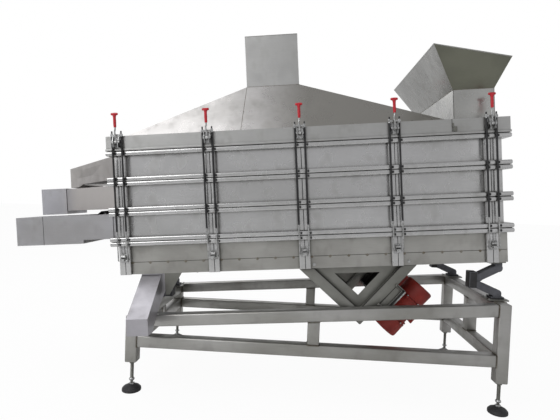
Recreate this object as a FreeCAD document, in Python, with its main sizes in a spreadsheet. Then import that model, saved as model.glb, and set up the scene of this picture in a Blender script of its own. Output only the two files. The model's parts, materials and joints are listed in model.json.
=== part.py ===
import FreeCAD, Part
import os
import re
import Sketcher

# Inclined linear vibrating screen: four stacked trays on a tube frame, three end
# outlets, a side clean-out chute, an extraction hood, a feed hopper and two motors
# below. Millimetres, +Z up, feed end towards +X, front towards -Y, feet at Z = 0.

SIZES = {
    "deck_angle": 4.65, "deck_rise": 893, "sheet": 4,
    "wall_left": 1358, "wall_right": 1262, "half_width": 480, "base_overhang": 20,
    "flange_reach": 42, "flange_thick": 28, "gasket_thick": 4, "gasket_inset": 6,
    "base_height": 230, "skirt_height": 80, "tray_height": 204,
    "lid_height": 102, "lid_lip": 44,
    "hood_left": 1322, "hood_right": 955, "hood_half": 440, "hood_height": 367,
    "chimney_at": -255, "chimney_half": 195, "chimney_height": 375, "hood_rim": 22,
    "neck_left": 960, "neck_right": 1230, "neck_half": 470, "neck_height": 200,
    "mouth_spread_left": 156, "mouth_spread_right": 127, "mouth_spread_side": 130,
    "mouth_height": 273, "rim_tilt": 10.57,
    "duct_bottom": 20, "duct_tall": 166, "duct_half": 470, "spout_wide": 300,
    "spout_gap": 20, "spout_start": 1905, "spout_end": 2102, "upper_spout_end": 2060, "spout_drop": 26,
    "spout_lap": 7, "sump_start": 1620,
    "cleanout_left": -1216, "cleanout_right": -1076, "cleanout_reach": 186,
    "cleanout_inlet_front": 470, "cleanout_inlet_rear": 330, "cleanout_lip": 8,
    "cleanout_knee": 237, "cleanout_foot": 344, "cleanout_mouth": 71,
    "cleanout_gap": 10, "cleanout_bend_drop": 243, "cleanout_rear_drop": 95,
    "clamp_first": -1316, "clamp_spacing": 623, "rod_half": 32, "rod_radius": 4,
    "rod_line": 537, "rod_tail": 20, "yoke_height": 105, "fit_gap": 0.3,
    "bar_half": 42, "bar_thick": 10, "bar_rise": 45,
    "sleeve_radius": 6.5, "sleeve_foot": 305, "bracket_half": 35, "bracket_thick": 5,
    "bracket_drop": 35, "bracket_tall": 70, "cheek_gap": 14, "cheek_thick": 4,
    "cheek_edge": 10, "pivot_line": 555, "pivot_height": 915, "pin_radius": 5,
    "shank_half": 8, "shank_thick": 12, "shank_tail": 17, "shank_reach": 110,
    "grip_radius": 11, "grip_start": 101, "grip_tall": 84, "cross_half": 25,
    "cross_deep": 20, "cross_thick": 10,
    "hook_half": 25, "hook_thick": 5, "hook_tall": 60, "tongue_half": 14,
    "tongue_reach": 552, "tongue_thick": 10, "tongue_lip": 13,
    "post_half": 38, "post_deep": 25, "rib_offset": 130, "rib_thick": 6, "rib_deep": 20,
    "tube": 80, "frame_end_gap": 13, "frame_side_gap": 20,
    "leg_foot": 205, "lower_beam": 312, "mount_gap": 266,
    "pad_radius": 65, "pad_thick": 18, "spindle_radius": 12, "nut_radius": 20,
    "nut_thick": 16, "pad_neck_radius": 28, "pad_neck_top": 40,
    "mount_line": 425, "mount_inner_line": 265, "mount_from_end": 45,
    "plate_half_length": 70, "plate_half_width": 55, "plate_thick": 10,
    "eye_radius": 26, "eye_half": 35, "arm_reach": 125, "foot_eye": 47,
    "knee_low": 99, "knee_high": 152, "top_eye": 220, "block_near": 136,
    "block_far": 192, "block_foot": 76, "block_top": 190, "block_half": 40,
    "foot_half": 45, "deck_plate_thick": 8, "gusset_from": -1050, "gusset_strip": 26,
    "gusset_reach": 120, "gusset_deep": 150, "gusset_thick": 8, "cross_member": 50,
    "drive_at": 286, "drive_half": 400, "arm_wide": 75, "arm_deep": 75,
    "web_thick": 8, "web_setback": 40, "window_top": 47, "window_half": 155,
    "motor_at": 280, "motor_line": 235, "motor_drop": 196, "motor_radius": 88,
    "cap_radius": 104, "motor_half": 205, "stator_half": 88, "seat_half": 150,
    "seat_drop": 50, "seat_thick": 12, "seat_foot": 22, "foot_side": 105,
    "box_half": 48, "box_side": 45, "box_drop": 34, "pan_thick": 4,
}

doc = FreeCAD.newDocument("vibrating_screen")
sheet = doc.addObject("Spreadsheet::Sheet", "Sizes")
for row, (alias, value) in enumerate(SIZES.items(), start=1):
    sheet.set("A%d" % row, alias)
    sheet.set("B%d" % row, str(value))
    sheet.setAlias("B%d" % row, alias)
doc.recompute()

nodes = {}

# Heights of the joint faces in the deck's own frame, where 0 is the underside.
TRAY_FOOT = [
    "(base_height + gasket_thick)",
    "(base_height + 2 * gasket_thick + tray_height)",
    "(base_height + 3 * gasket_thick + 2 * tray_height)",
]
LID_FOOT = "(base_height + 4 * gasket_thick + 3 * tray_height)"
LID_TOP = "(" + LID_FOOT + " + lid_height)"
FRAME_TOP = "(deck_rise - mount_gap)"
SPOUT_FRONT = [
    "(-duct_half)",
    "(-duct_half + spout_wide + spout_gap)",
    "(-duct_half + 2 * spout_wide + 2 * spout_gap)",
]


# Places that follow from the sizes: the frame stands round the deck, the clean-out chute
# reaches over the frame, and each clamp's parts lie about its handle's pivot.
PLACES = {
    "frame_half_length": "(wall_right + frame_end_gap)",
    "frame_half_width": "(half_width + frame_side_gap + tube)",
    "cleanout_bend": "(frame_half_width + cleanout_gap)",
    "cleanout_front": "(cleanout_bend + cleanout_reach)",
    "bar_height": "(pivot_height + bar_rise)",
    "rod_top": "(bar_height + bar_thick + rod_tail)",
    "bracket_foot": "(pivot_height - bracket_drop)",
    "cheek_reach": "(pivot_line + cheek_edge)",
    "shank_top": "(pivot_height + shank_reach)",
    "grip_foot": "(pivot_height + grip_start)",
    "grip_top": "(grip_foot + grip_tall)",
}


def bind(text):
    """An expression in which every place is worked out and every size points at its cell."""
    def cell(found):
        word = found.group()
        if word in PLACES:
            return bind(PLACES[word])
        return "Sizes." + word if word in SIZES else word
    return re.sub(r"[A-Za-z_][A-Za-z_0-9]*", cell, str(text))


def tie(piece, **sizes):
    for name, text in sizes.items():
        piece.setExpression(name, bind(text))
    return piece


def put(piece, x="0", y="0", z="0"):
    piece.setExpression("Placement.Base.x", bind(x))
    piece.setExpression("Placement.Base.y", bind(y))
    piece.setExpression("Placement.Base.z", bind(z))
    return piece


def turn(piece, axis, angle):
    piece.Placement.Rotation = FreeCAD.Rotation(FreeCAD.Vector(*axis), 1)
    piece.setExpression("Placement.Rotation.Angle", bind(angle))
    return piece


def block(x0, x1, y0, y1, z0, z1):
    """A box between six face positions."""
    piece = doc.addObject("Part::Box", "Block")
    tie(piece, Length="(%s) - (%s)" % (x1, x0), Width="(%s) - (%s)" % (y1, y0))
    tie(piece, Height="(%s) - (%s)" % (z1, z0))
    return put(piece, x0, y0, z0)


def bar(axis, x, y, z, length, radius):
    """A round bar that starts at a point and runs along X, Y or Z."""
    piece = doc.addObject("Part::Cylinder", "Bar")
    tie(piece, Radius=radius, Height=length)
    if axis == "x":
        piece.Placement.Rotation = FreeCAD.Rotation(FreeCAD.Vector(0, 1, 0), 90)
    if axis == "y":
        piece.Placement.Rotation = FreeCAD.Rotation(FreeCAD.Vector(1, 0, 0), -90)
    return put(piece, x, y, z)


def fuse(*pieces):
    union = doc.addObject("Part::MultiFuse", "Fuse")
    union.Shapes = list(pieces)
    return union


def cut(base, *tools):
    for tool in tools:
        difference = doc.addObject("Part::Cut", "Cut")
        difference.Base = base
        difference.Tool = tool
        base = difference
    return base


def group(pieces):
    compound = doc.addObject("Part::Compound", "Group")
    compound.Links = list(pieces)
    return compound


def profile(plane, points, low, high):
    """A body padded between two positions from an outline of straight edges."""
    body = doc.addObject("PartDesign::Body", "Profile")
    sketch = body.newObject("Sketcher::SketchObject", "Outline")
    origin = [o for o in body.Origin.OriginFeatures if o.Role == plane][0]
    sketch.AttachmentSupport = [(origin, "")]
    sketch.MapMode = "FlatFace"
    start = "-(%s)" % high if plane == "XZ_Plane" else low
    sketch.setExpression("AttachmentOffset.Base.z", bind(start))
    rough = [solve(point) for point in points]
    count = len(points)
    for index in range(count):
        here = FreeCAD.Vector(*rough[index], 0)
        there = FreeCAD.Vector(*rough[(index + 1) % count], 0)
        sketch.addGeometry(Part.LineSegment(here, there), False)
    for index in range(count):
        following = (index + 1) % count
        sketch.addConstraint(Sketcher.Constraint("Coincident", index, 2, following, 1))
    for index, point in enumerate(points):
        for kind, text, value in zip(("DistanceX", "DistanceY"), point, rough[index]):
            order = sketch.addConstraint(Sketcher.Constraint(kind, -1, 1, index, 1, value))
            sketch.setExpression("Constraints[%d]" % order, bind(text))
    pad = body.newObject("PartDesign::Pad", "Pad")
    pad.Profile = sketch
    tie(pad, Length="(%s) - (%s)" % (high, low))
    sketch.Visibility = False
    return body


def solve(point):
    """The present value of a pair of expressions, for a sketch's first guess."""
    return [float(sheet.evalExpression(bind(text))) for text in point]


def frustum(foot, top, z0, height):
    """A rectangular frustum: foot and top are left, right, front and rear."""
    piece = doc.addObject("Part::Wedge", "Frustum")
    tie(piece, Xmin=foot[0], Xmax=foot[1], Zmin="-(%s)" % foot[3], Zmax="-(%s)" % foot[2])
    tie(piece, X2min=top[0], X2max=top[1], Z2min="-(%s)" % top[3], Z2max="-(%s)" % top[2])
    tie(piece, Ymin="0", Ymax=height)
    piece.Placement.Rotation = FreeCAD.Rotation(FreeCAD.Vector(1, 0, 0), 90)
    return put(piece, "0", "0", z0)


# The origin is under the middle of the whole machine: the middle outlet and the right
# foot pads are its ends, the clean-out chute and the rear foot pads its sides.
SPOUT_TOP = "(" + TRAY_FOOT[1] + " + duct_bottom + duct_tall + spout_lap)"
LEFT_END = "(spout_end * cos(deck_angle) + " + SPOUT_TOP + " * sin(deck_angle))"
RIGHT_END = "(frame_half_length - tube / 2 + pad_radius)"
REAR_SIDE = "(frame_half_width - tube / 2 + pad_radius)"
SHIFT_X = "((" + LEFT_END + " - " + RIGHT_END + ") / 2)"
SHIFT_Y = "((cleanout_front - " + REAR_SIDE + ") / 2)"


def name_node(name, piece, frame):
    """Labels a finished sub-part and sets it level, along the deck or on the drive."""
    if frame == "level":
        put(piece, SHIFT_X, SHIFT_Y, "0")
    if frame == "deck":
        turn(piece, (0, 1, 0), "-deck_angle")
        put(piece, SHIFT_X, SHIFT_Y, "deck_rise")
    if frame == "drive":
        turn(piece, (0, 1, 0), "-deck_angle - 45")
        along = " + drive_at * cos(deck_angle) + drive_half * sin(deck_angle)"
        up = "deck_rise + drive_at * sin(deck_angle) - drive_half * cos(deck_angle)"
        put(piece, SHIFT_X + along, SHIFT_Y, up)
    piece.Label = name
    nodes[name] = piece


def clamp_places():
    """Each clamp's place along the deck and its side: -1 in front, 1 behind."""
    for side in (-1, 1):
        for index in range(5):
            yield index, side, "(clamp_first + %d * clamp_spacing)" % index


def across(side, near, far):
    """Two positions across the machine in rising order, from distances to its middle."""
    if side < 0:
        return "-(%s)" % far, "-(%s)" % near
    return near, far


# Frame
def build_frame():
    feet = []
    legs = []
    for end in (-1, 1):
        for side in (-1, 1):
            x = "%d * (frame_half_length - tube / 2)" % end
            y = "%d * (frame_half_width - tube / 2)" % side
            pad = bar("z", x, y, "0", "pad_thick", "pad_radius")
            neck = bar("z", x, y, "pad_thick", "pad_neck_top - pad_thick", "pad_neck_radius")
            spindle = bar("z", x, y, "pad_neck_top", "leg_foot - pad_neck_top", "spindle_radius")
            nut = bar("z", x, y, "leg_foot - nut_thick", "nut_thick", "nut_radius")
            feet.append(fuse(pad, neck, spindle, nut))
            top = FRAME_TOP + " + %d * (frame_half_length - tube / 2) * tan(deck_angle)" % end
            sides = across(side, "frame_half_width - tube", "frame_half_width")
            ends = across(end, "frame_half_length - tube", "frame_half_length")
            legs.append(block(*ends, *sides, "leg_foot", top))
    name_node("levelling_feet", group(feet), "level")
    name_node("frame_legs", group(legs), "level")

    uppers = []
    lowers = []
    posts = []
    reach = "(frame_half_length - tube)"
    for side in (-1, 1):
        low, high = across(side, "frame_half_width - tube", "frame_half_width")
        drop = reach + " * tan(deck_angle)"
        outline = [
            ("-" + reach, FRAME_TOP + " - tube - " + drop),
            (reach, FRAME_TOP + " - tube + " + drop),
            (reach, FRAME_TOP + " + " + drop),
            ("-" + reach, FRAME_TOP + " - " + drop),
        ]
        uppers.append(profile("XZ_Plane", outline, low, high))
        lowers.append(block("-" + reach, reach, low, high, "lower_beam", "lower_beam + tube"))
        outline = [
            ("-tube / 2", "lower_beam + tube"),
            ("tube / 2", "lower_beam + tube"),
            ("tube / 2", FRAME_TOP + " - tube + tube / 2 * tan(deck_angle)"),
            ("-tube / 2", FRAME_TOP + " - tube - tube / 2 * tan(deck_angle)"),
        ]
        posts.append(profile("XZ_Plane", outline, low, high))
    name_node("upper_side_beams", group(uppers), "level")
    name_node("lower_side_beams", group(lowers), "level")

    beams = []
    for end in (-1, 1):
        ends = across(end, "frame_half_length - tube", "frame_half_length")
        inner = "(frame_half_width - tube)"
        top = FRAME_TOP + " + %d * (frame_half_length - tube / 2) * tan(deck_angle)" % end
        beams.append(block(*ends, "-" + inner, inner, top + " - tube", top))
        beams.append(block(*ends, "-" + inner, inner, "lower_beam", "lower_beam + tube"))
        posts.append(block(*ends, "-tube / 2", "tube / 2", "lower_beam + tube", top + " - tube"))
    name_node("end_beams", group(beams), "level")
    name_node("mid_posts", group(posts), "level")


# Rubber rocker mounts between the frame and the deck
MOUNTS = [
    (1, 1, "-mount_line"), (1, 1, "mount_line"),
    (-1, -1, "-mount_inner_line"), (-1, 1, "mount_line"),
]


def rocker(end, facing, y):
    """One mount: a foot, two arms that meet at a knee block, and a top eye."""
    x = "(%d * (frame_half_length - mount_from_end))" % end
    foot = "(" + FRAME_TOP + " + %d * (frame_half_length - tube / 2)" % end
    foot += " * tan(deck_angle) + plate_thick)"
    knee = "(%s - %d * arm_reach)" % (x, facing)
    low, high = "%s - eye_half" % y, "%s + eye_half" % y
    pieces = []
    heights = {"foot_eye": x, "knee_low": knee, "knee_high": knee, "top_eye": x}
    for height, at in heights.items():
        up = "%s + %s - plate_thick" % (foot, height)
        pieces.append(bar("y", at, low, up, "2 * eye_half", "eye_radius"))
    for near, far in (("foot_eye", "knee_low"), ("top_eye", "knee_high")):
        slope = "atan((%s - %s) / arm_reach)" % (far, near)
        lean = "(eye_radius / cos(%s))" % slope
        near_up = "%s + %s - plate_thick" % (foot, near)
        far_up = "%s + %s - plate_thick" % (foot, far)
        outline = [
            (x, near_up + " - " + lean), (x, near_up + " + " + lean),
            (knee, far_up + " + " + lean), (knee, far_up + " - " + lean),
        ]
        pieces.append(profile("XZ_Plane", outline, low, high))
    ends = ("block_near", "block_far") if facing < 0 else ("-block_far", "-block_near")
    block_low, block_high = "%s - block_half" % y, "%s + block_half" % y
    reach = ["%s + %s" % (x, place) for place in ends]
    inner = "%s - %d * arm_reach" % (x, facing)
    reach = [reach[0], inner] if facing > 0 else [inner, reach[1]]
    rise = (foot + " + block_foot - plate_thick", foot + " + block_top - plate_thick")
    pieces.append(block(*reach, block_low, block_high, *rise))
    pieces.append(block(x + " - foot_half", x + " + foot_half", block_low, block_high,
                        foot, foot + " + foot_eye - plate_thick"))
    pieces.append(block(x + " - eye_radius", x + " + eye_radius", low, high,
                        foot + " + top_eye - plate_thick", foot + " + mount_gap"))
    return fuse(*pieces)


def build_mounts():
    plates = []
    rockers = []
    for end, facing, y in MOUNTS:
        x = "(%d * (frame_half_length - mount_from_end))" % end
        top = "(" + FRAME_TOP + " + %d * (frame_half_length - tube / 2) * tan(deck_angle))" % end
        plates.append(block(x + " - plate_half_length", x + " + plate_half_length",
                            y + " - plate_half_width", y + " + plate_half_width",
                            top, top + " + plate_thick"))
        rockers.append(rocker(end, facing, y))
    name_node("mount_plates", group(plates), "level")
    above = block("-frame_half_length * 2", "frame_half_length * 2", "-frame_half_width",
                  "frame_half_width", "-deck_plate_thick", "mount_gap")
    turn(above, (0, 1, 0), "-deck_angle")
    put(above, "-frame_half_length * 2 * cos(deck_angle) + deck_plate_thick * sin(deck_angle)",
        "-frame_half_width",
        "deck_rise - frame_half_length * 2 * sin(deck_angle)"
        " - deck_plate_thick * cos(deck_angle)")
    name_node("rocker_mounts", cut(group(rockers), above), "level")

    brackets = []
    for end in (-1, 1):
        x = "(%d * (frame_half_length - mount_from_end) / cos(deck_angle))" % end
        start = x + " - plate_half_length"
        pieces = [block(start, start + " + cross_member", "-half_width + sheet",
                        "half_width - sheet", "0", "skirt_height")]
        for y in [mount[2] for mount in MOUNTS if mount[0] == end]:
            pieces.append(block(start, x + " + plate_half_length / 2",
                                y + " - plate_half_width", y + " + plate_half_width",
                                "-deck_plate_thick", "0"))
        brackets.append(fuse(*pieces))
    for side in (-1, 1):
        low, high = across(side, "half_width - gusset_thick", "half_width")
        outline = [
            ("gusset_from", "0"), ("gusset_from", "-gusset_deep"),
            ("gusset_from + gusset_strip", "-gusset_deep"),
            ("gusset_from + gusset_reach", "0"),
        ]
        plate = profile("XZ_Plane", outline, low, high)
        low, high = across(side, "half_width - arm_wide", "half_width")
        strip = block("gusset_from", "gusset_from + gusset_thick", low, high,
                      "-gusset_deep", "0")
        brackets.append(fuse(plate, strip))
    name_node("deck_brackets", group(brackets), "deck")


# Trays, lid and screens
def ring(x0, x1, half, z0, z1, inner_x0, inner_x1, inner_half):
    """A rectangular ring between two heights."""
    return cut(block(x0, x1, "-(%s)" % half, half, z0, z1),
               block(inner_x0, inner_x1, "-(%s)" % inner_half, inner_half,
                     z0 + " - sheet", z1 + " + sheet"))


def flange(z0):
    return ring("-wall_left - flange_reach", "wall_right + flange_reach",
                "half_width + flange_reach", z0, z0 + " + flange_thick",
                "-wall_left + sheet", "wall_right - sheet", "half_width - sheet")


def wall_ring(z0, z1):
    return ring("-wall_left", "wall_right", "half_width", z0, z1,
                "-wall_left + sheet", "wall_right - sheet", "half_width - sheet")


def build_base():
    end = "wall_right + base_overhang"
    shell = block("-wall_left", end, "-half_width", "half_width", "0", "base_height")
    rim = block("-wall_left - flange_reach", "wall_right + flange_reach",
                "-half_width - flange_reach", "half_width + flange_reach",
                "base_height - flange_thick", "base_height")
    inside = block("-wall_left + sheet", end + " - sheet", "-half_width + sheet",
                   "half_width - sheet", "skirt_height + sheet", "base_height + sheet")
    below = block("-wall_left + sheet", end + " - sheet", "-half_width + sheet",
                  "half_width - sheet", "-sheet", "skirt_height")
    outlet = block("cleanout_left + sheet", "cleanout_right - sheet",
                   "-cleanout_inlet_front + sheet", "-cleanout_inlet_rear - sheet",
                   "skirt_height - sheet", "skirt_height + 2 * sheet")
    name_node("base_tray", cut(fuse(shell, rim), inside, below, outlet), "deck")


def build_trays():
    names = ("lower_tray", "middle_tray", "upper_tray")
    for index, name in enumerate(names):
        foot = TRAY_FOOT[index]
        top = "(" + foot + " + tray_height)"
        tray = fuse(wall_ring(foot, top), flange(foot), flange(top + " - flange_thick"))
        notch = block("-wall_left - flange_reach - sheet", "-wall_left", "-duct_half",
                      "duct_half", foot + " + duct_bottom",
                      foot + " + duct_bottom + duct_tall")
        mouth = block("-wall_left - sheet", "-wall_left + 2 * sheet", "-duct_half + sheet",
                      "duct_half - sheet", foot + " + duct_bottom + sheet",
                      foot + " + duct_bottom + duct_tall - sheet")
        tray = cut(tray, notch, mouth)
        if name == "lower_tray":
            pan = block("-wall_left + sheet / 2", "wall_right - sheet / 2",
                        "-half_width + sheet / 2", "half_width - sheet / 2", foot,
                        foot + " + pan_thick")
            tray = fuse(tray, pan)
        name_node(name, tray, "deck")

    gaskets = []
    screens = []
    for index, foot in enumerate(TRAY_FOOT + [LID_FOOT]):
        z0 = foot + " - gasket_thick"
        gaskets.append(ring("-wall_left - flange_reach + gasket_inset",
                            "wall_right + flange_reach - gasket_inset",
                            "half_width + flange_reach - gasket_inset", z0, foot,
                            "-wall_left + sheet", "wall_right - sheet",
                            "half_width - sheet"))
        if index in (1, 2):
            screens.append(block("-wall_left + sheet", "wall_right - sheet",
                                 "-half_width + sheet", "half_width - sheet", z0, foot))
    name_node("gaskets", group(gaskets), "deck")
    name_node("lower_screen", group(screens[:1]), "deck")
    name_node("upper_screen", group(screens[1:]), "deck")


def build_lid():
    outer = block("-wall_left - flange_reach", "wall_right + flange_reach",
                  "-half_width - flange_reach", "half_width + flange_reach",
                  LID_FOOT, LID_TOP)
    inner = block("-wall_left - flange_reach + sheet", "wall_right + flange_reach - sheet",
                  "-half_width - flange_reach + sheet", "half_width + flange_reach - sheet",
                  LID_FOOT + " + sheet", LID_TOP + " - sheet")
    throat = block("-wall_left - flange_reach + lid_lip", "wall_right + flange_reach - lid_lip",
                   "-half_width - flange_reach + lid_lip",
                   "half_width + flange_reach - lid_lip",
                   LID_FOOT + " - sheet", LID_FOOT + " + 2 * sheet")
    vent = block("-hood_left + hood_rim", "hood_right - hood_rim", "-hood_half + hood_rim",
                 "hood_half - hood_rim", LID_TOP + " - 2 * sheet", LID_TOP + " + sheet")
    feed = block("neck_left + sheet", "neck_right - sheet", "-neck_half + sheet",
                 "neck_half - sheet", LID_TOP + " - 2 * sheet", LID_TOP + " + sheet")
    name_node("lid", cut(outer, inner, throat, vent, feed), "deck")


def build_hood():
    foot = ("-hood_left", "hood_right", "-hood_half", "hood_half")
    top = ("chimney_at - chimney_half", "chimney_at + chimney_half",
           "-chimney_half", "chimney_half")
    skin = frustum(foot, top, LID_TOP, "hood_height")
    foot = ("-hood_left + hood_rim", "hood_right - hood_rim",
            "-hood_half + hood_rim / 2", "hood_half - hood_rim / 2")
    top = ("chimney_at - chimney_half + sheet", "chimney_at + chimney_half - sheet",
           "-chimney_half + sheet", "chimney_half - sheet")
    name_node("hood", cut(skin, frustum(foot, top, LID_TOP, "hood_height")), "deck")

    foot = "(" + LID_TOP + " + hood_height)"
    name_node("chimney", ring("chimney_at - chimney_half", "chimney_at + chimney_half",
                              "chimney_half", foot, foot + " + chimney_height",
                              "chimney_at - chimney_half + sheet",
                              "chimney_at + chimney_half - sheet",
                              "chimney_half - sheet"), "deck")


def build_hopper():
    neck_top = "(" + LID_TOP + " + neck_height)"

    def flare(inset):
        foot = ("neck_left + " + inset, "neck_right - " + inset,
                "-neck_half + " + inset, "neck_half - " + inset)
        mouth = ("neck_left - mouth_spread_left + " + inset,
                 "neck_right + mouth_spread_right - " + inset,
                 "-neck_half - mouth_spread_side + " + inset,
                 "neck_half + mouth_spread_side - " + inset)
        return frustum(foot, mouth, neck_top, "mouth_height")

    neck = block("neck_left", "neck_right", "-neck_half", "neck_half", LID_TOP, neck_top)
    bore = block("neck_left + sheet", "neck_right - sheet", "-neck_half + sheet",
                 "neck_half - sheet", LID_TOP + " - sheet", neck_top + " + sheet")
    above = block("0", "2 * (neck_right - neck_left + mouth_spread_left)", "0",
                  "4 * neck_half", "0", "mouth_height")
    turn(above, (0, 1, 0), "rim_tilt")
    put(above, "neck_left - mouth_spread_left", "-2 * neck_half",
        neck_top + " + mouth_height")
    hopper = cut(fuse(neck, flare("0")), bore, flare("sheet"), above)
    name_node("feed_hopper", hopper, "deck")


# Outlets
def duct(foot, front, end, inset):
    """An outlet duct in plan: full width at the tray, as wide as its spout beyond."""
    rear = front + " + spout_wide"
    outline = [
        ("-wall_left", "-duct_half + " + inset),
        ("-wall_left", "duct_half - " + inset),
        ("-spout_start", rear + " - " + inset),
        ("-" + end + " + sheet + " + inset, rear + " - " + inset),
        ("-" + end + " + sheet + " + inset, front + " + " + inset),
        ("-spout_start", front + " + " + inset),
    ]
    low = foot + " + duct_bottom + " + inset
    return profile("XY_Plane", outline, low, foot + " + duct_bottom + duct_tall - " + inset)


def build_outlets():
    names = ("lower_chute", "middle_chute", "upper_chute")
    for index, name in enumerate(names):
        foot = TRAY_FOOT[index]
        front = SPOUT_FRONT[index]
        start = "-sump_start" if name == "lower_chute" else "-spout_start"
        end = "upper_spout_end" if name == "upper_chute" else "spout_end"
        base = foot + " + duct_bottom - spout_drop"
        top = foot + " + duct_bottom + duct_tall + spout_lap"
        sleeve = block("-" + end, start, front + " - sheet", front + " + spout_wide + sheet",
                       base, top)
        drop = block("-" + end + " + 2 * sheet", "-spout_start - 2 * sheet",
                     front + " + sheet", front + " + spout_wide - sheet",
                     base + " - sheet", top + " - 2 * sheet - spout_lap")
        chute = cut(fuse(duct(foot, front, end, "0"), sleeve),
                    duct(foot, front, end, "sheet"), drop)
        name_node(name, chute, "deck")


def cleanout(inset):
    """Side outline of the clean-out chute, with its two ends left open."""
    front = "-cleanout_front + " + inset
    rear_face = "-cleanout_inlet_rear - " + inset
    return [
        ("-cleanout_inlet_front + " + inset, "skirt_height"),
        ("-cleanout_inlet_front + " + inset, "-cleanout_lip - " + inset),
        (front, "-cleanout_knee - " + inset),
        (front, "-cleanout_foot"),
        ("-cleanout_front + cleanout_mouth - " + inset, "-cleanout_foot"),
        ("-cleanout_bend - " + inset, "-cleanout_bend_drop + " + inset),
        (rear_face, "-cleanout_rear_drop + " + inset),
        (rear_face, "skirt_height"),
    ]


def build_cleanout():
    skin = profile("YZ_Plane", cleanout("0"), "cleanout_left", "cleanout_right")
    bore = profile("YZ_Plane", cleanout("sheet"), "cleanout_left + sheet",
                   "cleanout_right - sheet")
    name_node("cleanout_chute", cut(skin, bore), "deck")


# Drive below the deck
def build_drive():
    webs = []
    arms = []
    slant = "arm_wide * sqrt(2)"
    for side in (-1, 1):
        far = "half_width"
        low, high = across(side, far + " - arm_deep", far)
        outline = [
            ("drive_at - drive_half", "0"), ("drive_at", "-drive_half"),
            ("drive_at + drive_half", "0"), ("drive_at + drive_half - " + slant, "0"),
            ("drive_at", "-drive_half + " + slant),
            ("drive_at - drive_half + " + slant, "0"),
        ]
        arms.append(profile("XZ_Plane", outline, low, high))
        low, high = across(side, far + " - web_setback - web_thick", far + " - web_setback")
        outline = [
            ("drive_at - drive_half + " + slant, "0"), ("drive_at", "-drive_half + " + slant),
            ("drive_at + drive_half - " + slant, "0"),
        ]
        web = profile("XZ_Plane", outline, low, high)
        outline = [
            ("drive_at - window_half", "-window_top"),
            ("drive_at", "-window_top - window_half"),
            ("drive_at + window_half", "-window_top"),
        ]
        window = profile("XZ_Plane", outline, low + " - sheet", high + " + sheet")
        webs.append(cut(web, window))
    name_node("drive_arms", group(arms), "deck")
    name_node("drive_webs", group(webs), "deck")

    plate = block("motor_at - seat_half", "motor_at + seat_half", "-half_width",
                  "half_width", "-seat_drop - seat_thick", "-seat_drop")
    legs = []
    for end in (-1, 1):
        ends = across(end, "seat_half - seat_thick", "seat_half")
        ends = ["motor_at + (%s)" % place for place in ends]
        legs.append(block(*ends, "-half_width", "half_width", "-seat_drop", "0"))
    name_node("motor_seat", fuse(plate, *legs), "drive")

    seat = "(-seat_drop - seat_thick)"
    for side, name in ((-1, "front_motor"), (1, "rear_motor")):
        y = "(%d * motor_line)" % side
        stator = bar("x", "motor_at - motor_half", y, "-motor_drop", "2 * motor_half",
                     "motor_radius")
        caps = []
        for start in ("motor_at - motor_half", "motor_at + stator_half"):
            caps.append(bar("x", start, y, "-motor_drop", "motor_half - stator_half",
                            "cap_radius"))
        feet = block("motor_at - stator_half", "motor_at + stator_half", y + " - foot_side",
                     y + " + foot_side", seat + " - seat_foot", seat)
        neck = block("motor_at - stator_half", "motor_at + stator_half",
                     y + " - motor_radius / 2", y + " + motor_radius / 2",
                     "-motor_drop", seat)
        box = block("motor_at - box_half", "motor_at + box_half", y + " - box_side",
                    y + " + box_side", "-motor_drop - motor_radius - box_drop",
                    "-motor_drop")
        name_node(name, fuse(stator, *caps, feet, neck, box), "drive")


# Clamps and the posts behind them
def build_posts():
    posts = []
    levels = [("0", "base_height - flange_thick")]
    for foot in TRAY_FOOT:
        levels.append((foot + " + flange_thick", foot + " + tray_height - flange_thick"))
    for index, side, u in clamp_places():
        for order, (z0, z1) in enumerate(levels):
            y0, y1 = across(side, "half_width", "half_width + post_deep")
            posts.append(block(u + " - post_half", u + " + post_half", y0, y1, z0, z1))
            if order > 0 and index > 0:
                y0, y1 = across(side, "half_width", "half_width + rib_deep")
                posts.append(block(u + " - rib_offset", u + " - rib_offset + rib_thick",
                                   y0, y1, z0, z1))
    name_node("wall_posts", group(posts), "deck")


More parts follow.
